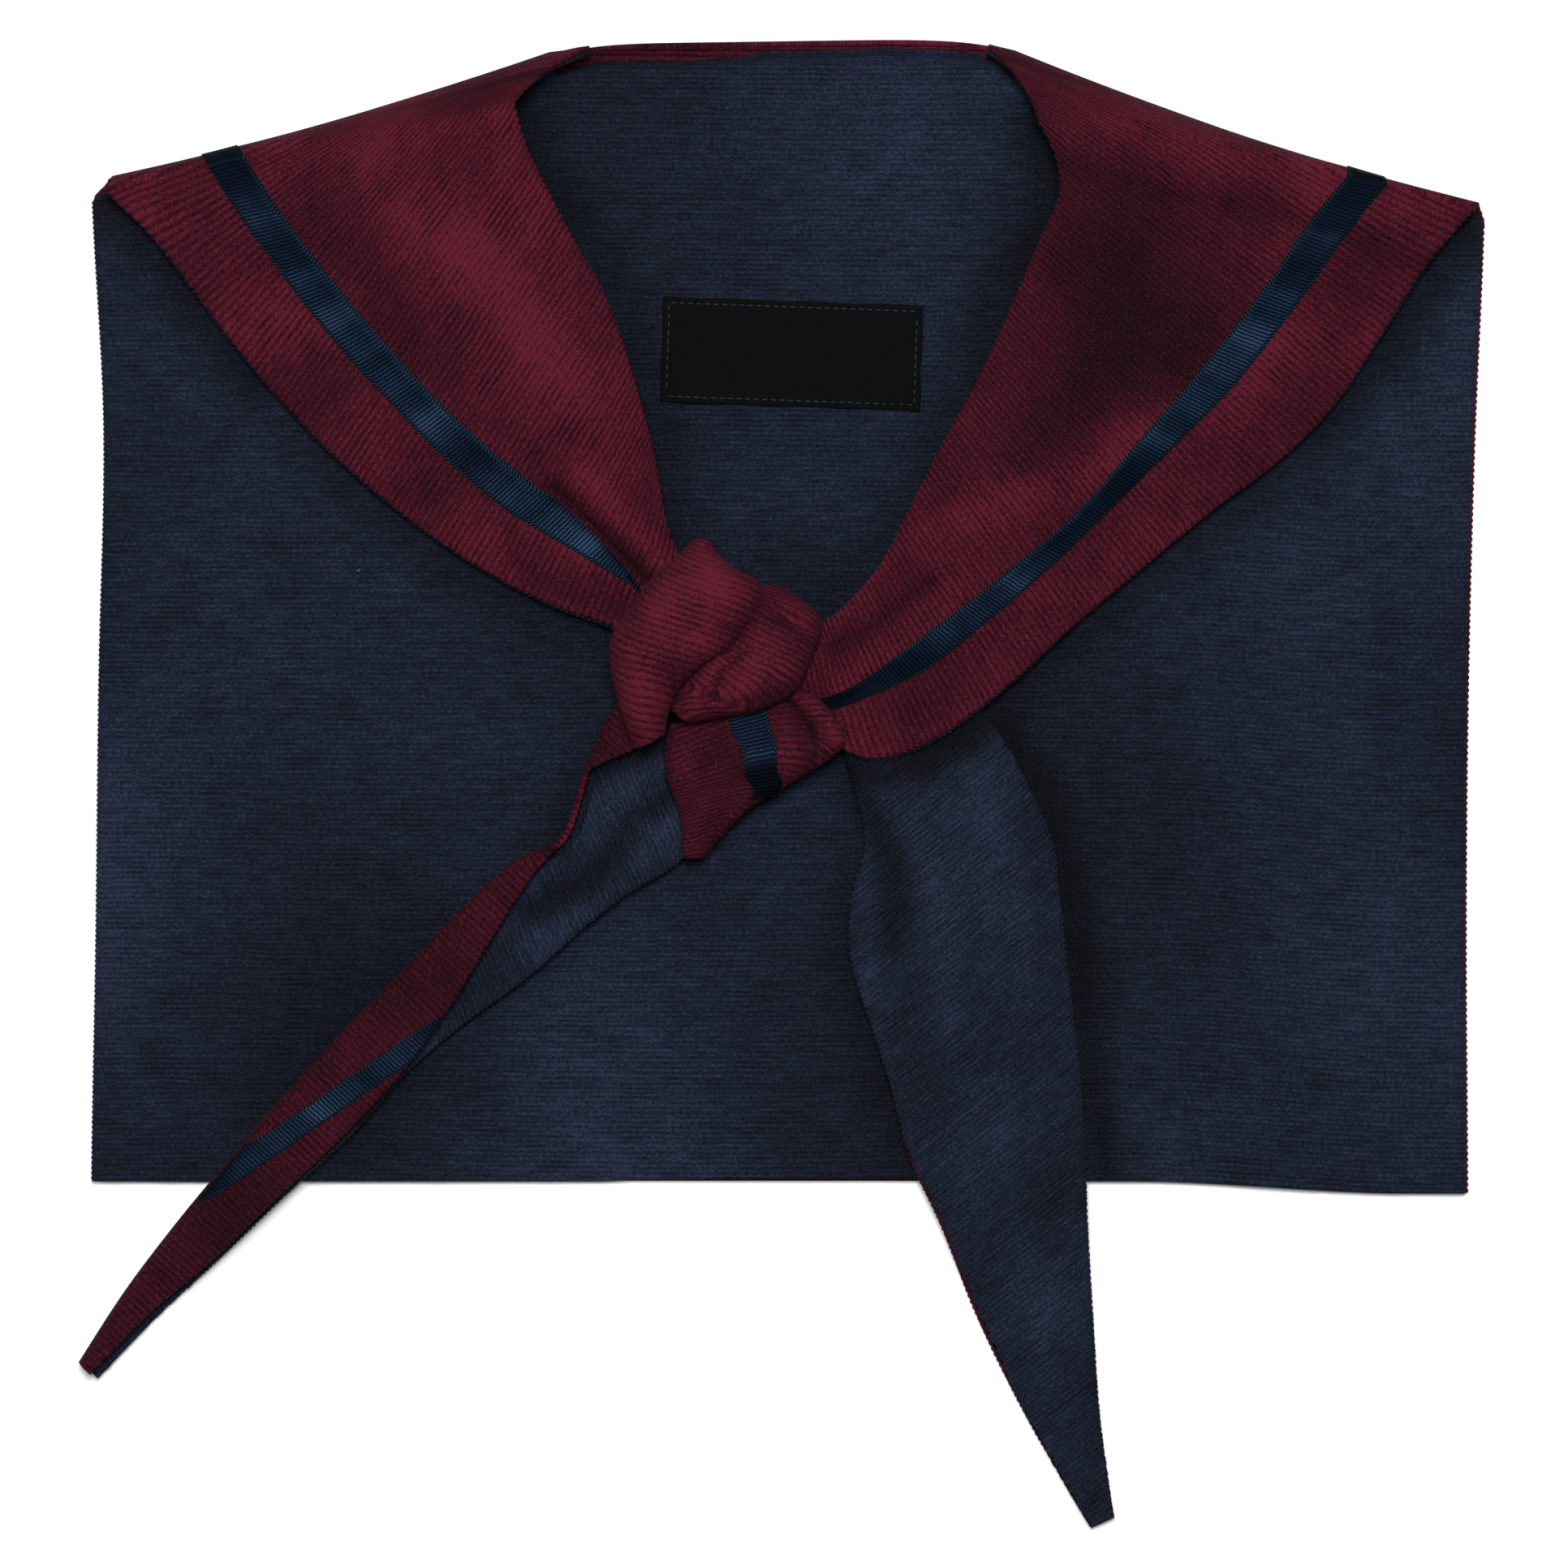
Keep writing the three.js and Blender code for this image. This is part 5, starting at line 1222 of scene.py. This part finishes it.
leftStripe = {
    "fromT": 0.515, "fromAlong": 0.47, "fromAcross": 0.2, "toT": 0.8, "toAlong": 0.78, "toAcross": -0.42,
    "halfWidth": 2.9, "round": 0.1, "shaded": 0.15,
}


def makeLeftTail():
    t = np.linspace(1, 0, leftTail["rows"])[:, None]
    points, at, foldMiddle = leftTailGrid(t)
    normals = normalsOf(points)
    flap = points[..., 2] > tailZ(points[..., 0], points[..., 1], 0) + leftTail["foldRadius"]
    outerWale, outerAlong = planarWale(points, leftTail["outerWale"])
    innerWale, innerAlong = planarWale(points, leftTail["liningWale"])
    nap = rippleOn(points, "leftTailNap") - leftTail["flapShade"] * flap
    nap = nap + cloth["creaseShade"] * foldsOn(points, leftTail["folds"]) * ~flap
    values = {"wale": outerWale, "along": outerAlong, "nap": nap}
    piece, outer = makeLayer("outer", "tailLeftOuter", "tail_left_outer", points, values, normals)
    values = {"wale": innerWale, "along": innerAlong, "nap": nap}
    inside, lining = makeLayer("lining", "tailLeftLining", "tail_left_lining", points, values, normals)
    declareSheet(inside, lining, "folded", "tailLeftOuter")
    rows = np.linspace(leftStripe["toT"], leftStripe["fromT"], 120)[:, None]
    at = {key: between(leftTail[key], rows) for key in ("along", "left", "flap")}
    share = (at["along"] - leftStripe["fromAlong"]) / (leftStripe["toAlong"] - leftStripe["fromAlong"])
    middle = mix(leftStripe["fromAcross"], leftStripe["toAcross"], share) * leftTail["width"]
    foldLine = at["left"] * leftTail["width"] - outerLayer[0] + leftTail["foldRadius"]
    flapLine = at["flap"] * leftTail["width"] - cloth["space"]
    wanted = middle + np.linspace(1, -1, 7)[None, :] * leftStripe["halfWidth"]
    across = np.clip(wanted, foldLine - leftTail["foldRadius"] * 0.75, flapLine)
    flat = tailPlace(leftTail["angle"], at["along"] * leftTail["length"], across)
    overFold = np.clip((foldLine - across) / leftTail["foldRadius"], 0, 1)
    z = tailZ(flat[..., 0], flat[..., 1], 0)
    z = z + leftTail["foldRadius"] * (1 + np.sqrt(1 - overFold ** 2))
    strip = stack(flat[..., 0], flat[..., 1], z)
    values = {
        "along": at["along"] * leftTail["length"],
        "across": (across - middle) / leftStripe["halfWidth"],
        "shaded": np.full((1, 1), leftStripe["shaded"]),
    }
    stripe = makeRibbon("stripeTail", "tail_left_ribbon", strip, values, edgeRound=leftStripe["round"])
    declareSheet(piece, outer, "folded", "backLining", "floor", withPieces=[stripe])


print("functions ready")
makePanel(makeBackStripe())
print("panel made")
makeFront(leftFront, "Left")
makeFront(rightFront, "Right")
print("fronts made")
makeLabel(makeLabelStitches(threadMaterial()))
makeKnot()
print("knot made")
makeRightTail()
makeLeftTail()
print("tails made")


# Floor, lights and camera

studio = {"floorReach": 3.0, "floorDrop": 0.0002, "sky": 0.22}
lamps = [
    {"name": "overhead", "place": (0.0, 0.45, 1.7), "size": 0.7, "power": 36},
    {"name": "leftFill", "place": (-1.2, 0.3, 0.8), "size": 0.6, "power": 4},
    {"name": "rightFill", "place": (1.1, -0.4, 0.9), "size": 0.6, "power": 2},
]
camera = {
    "height": 1.5, "sensor": 36, "view": 0.3864, "x": 0.0002, "y": -0.0002, "near": 0.05, "far": 10,
}


def makeFloor():
    s = Shader("paleFloor")
    place = s.node("ShaderNodeTexCoord", output="Object")
    grain = s.noise(place, 40.0, 3.0)
    colour = s.blend((0.86, 0.86, 0.86, 1.0), (0.9, 0.9, 0.9, 1.0), grain)
    material = s.finish(colour, grain * 0.02, 0.9)
    reach = studio["floorReach"]
    mesh = bpy.data.meshes.new("floor")
    corners = [(-reach, -reach, 0), (reach, -reach, 0), (reach, reach, 0), (-reach, reach, 0)]
    mesh.from_pydata(corners, [], [(0, 1, 2, 3)])
    mesh.materials.append(material)
    floor = bpy.data.objects.new("floor", mesh)
    bpy.context.scene.collection.objects.link(floor)
    floor.location.z = -studio["floorDrop"]


def makeLights():
    for lamp in lamps:
        data = bpy.data.lights.new(lamp["name"], "AREA")
        data.shape, data.size, data.energy = "DISK", lamp["size"], lamp["power"]
        light = bpy.data.objects.new(lamp["name"], data)
        bpy.context.scene.collection.objects.link(light)
        light.location = lamp["place"]
        x, y, z = lamp["place"]
        # each lamp looks at the middle of the collar
        light.rotation_euler = (math.atan2(math.hypot(x, y), z), 0, math.atan2(-x, y) + math.pi)
    world = bpy.data.worlds.new("studio")
    bpy.context.scene.world = world
    world.use_nodes = True
    background = world.node_tree.nodes["Background"]
    background.inputs["Color"].default_value = (1, 1, 1, 1)
    background.inputs["Strength"].default_value = studio["sky"]


def makeCamera():
    data = bpy.data.cameras.new("above")
    data.sensor_width = camera["sensor"]
    data.lens = camera["sensor"] * camera["height"] / camera["view"]
    data.clip_start, data.clip_end = camera["near"], camera["far"]
    eye = bpy.data.objects.new("above", data)
    eye.location = (camera["x"], camera["y"], camera["height"])
    bpy.context.scene.collection.objects.link(eye)
    bpy.context.scene.camera = eye


makeFloor()
makeLights()
makeCamera()
bpy.context.scene.view_settings.view_transform = "Standard"


print("scene ready")
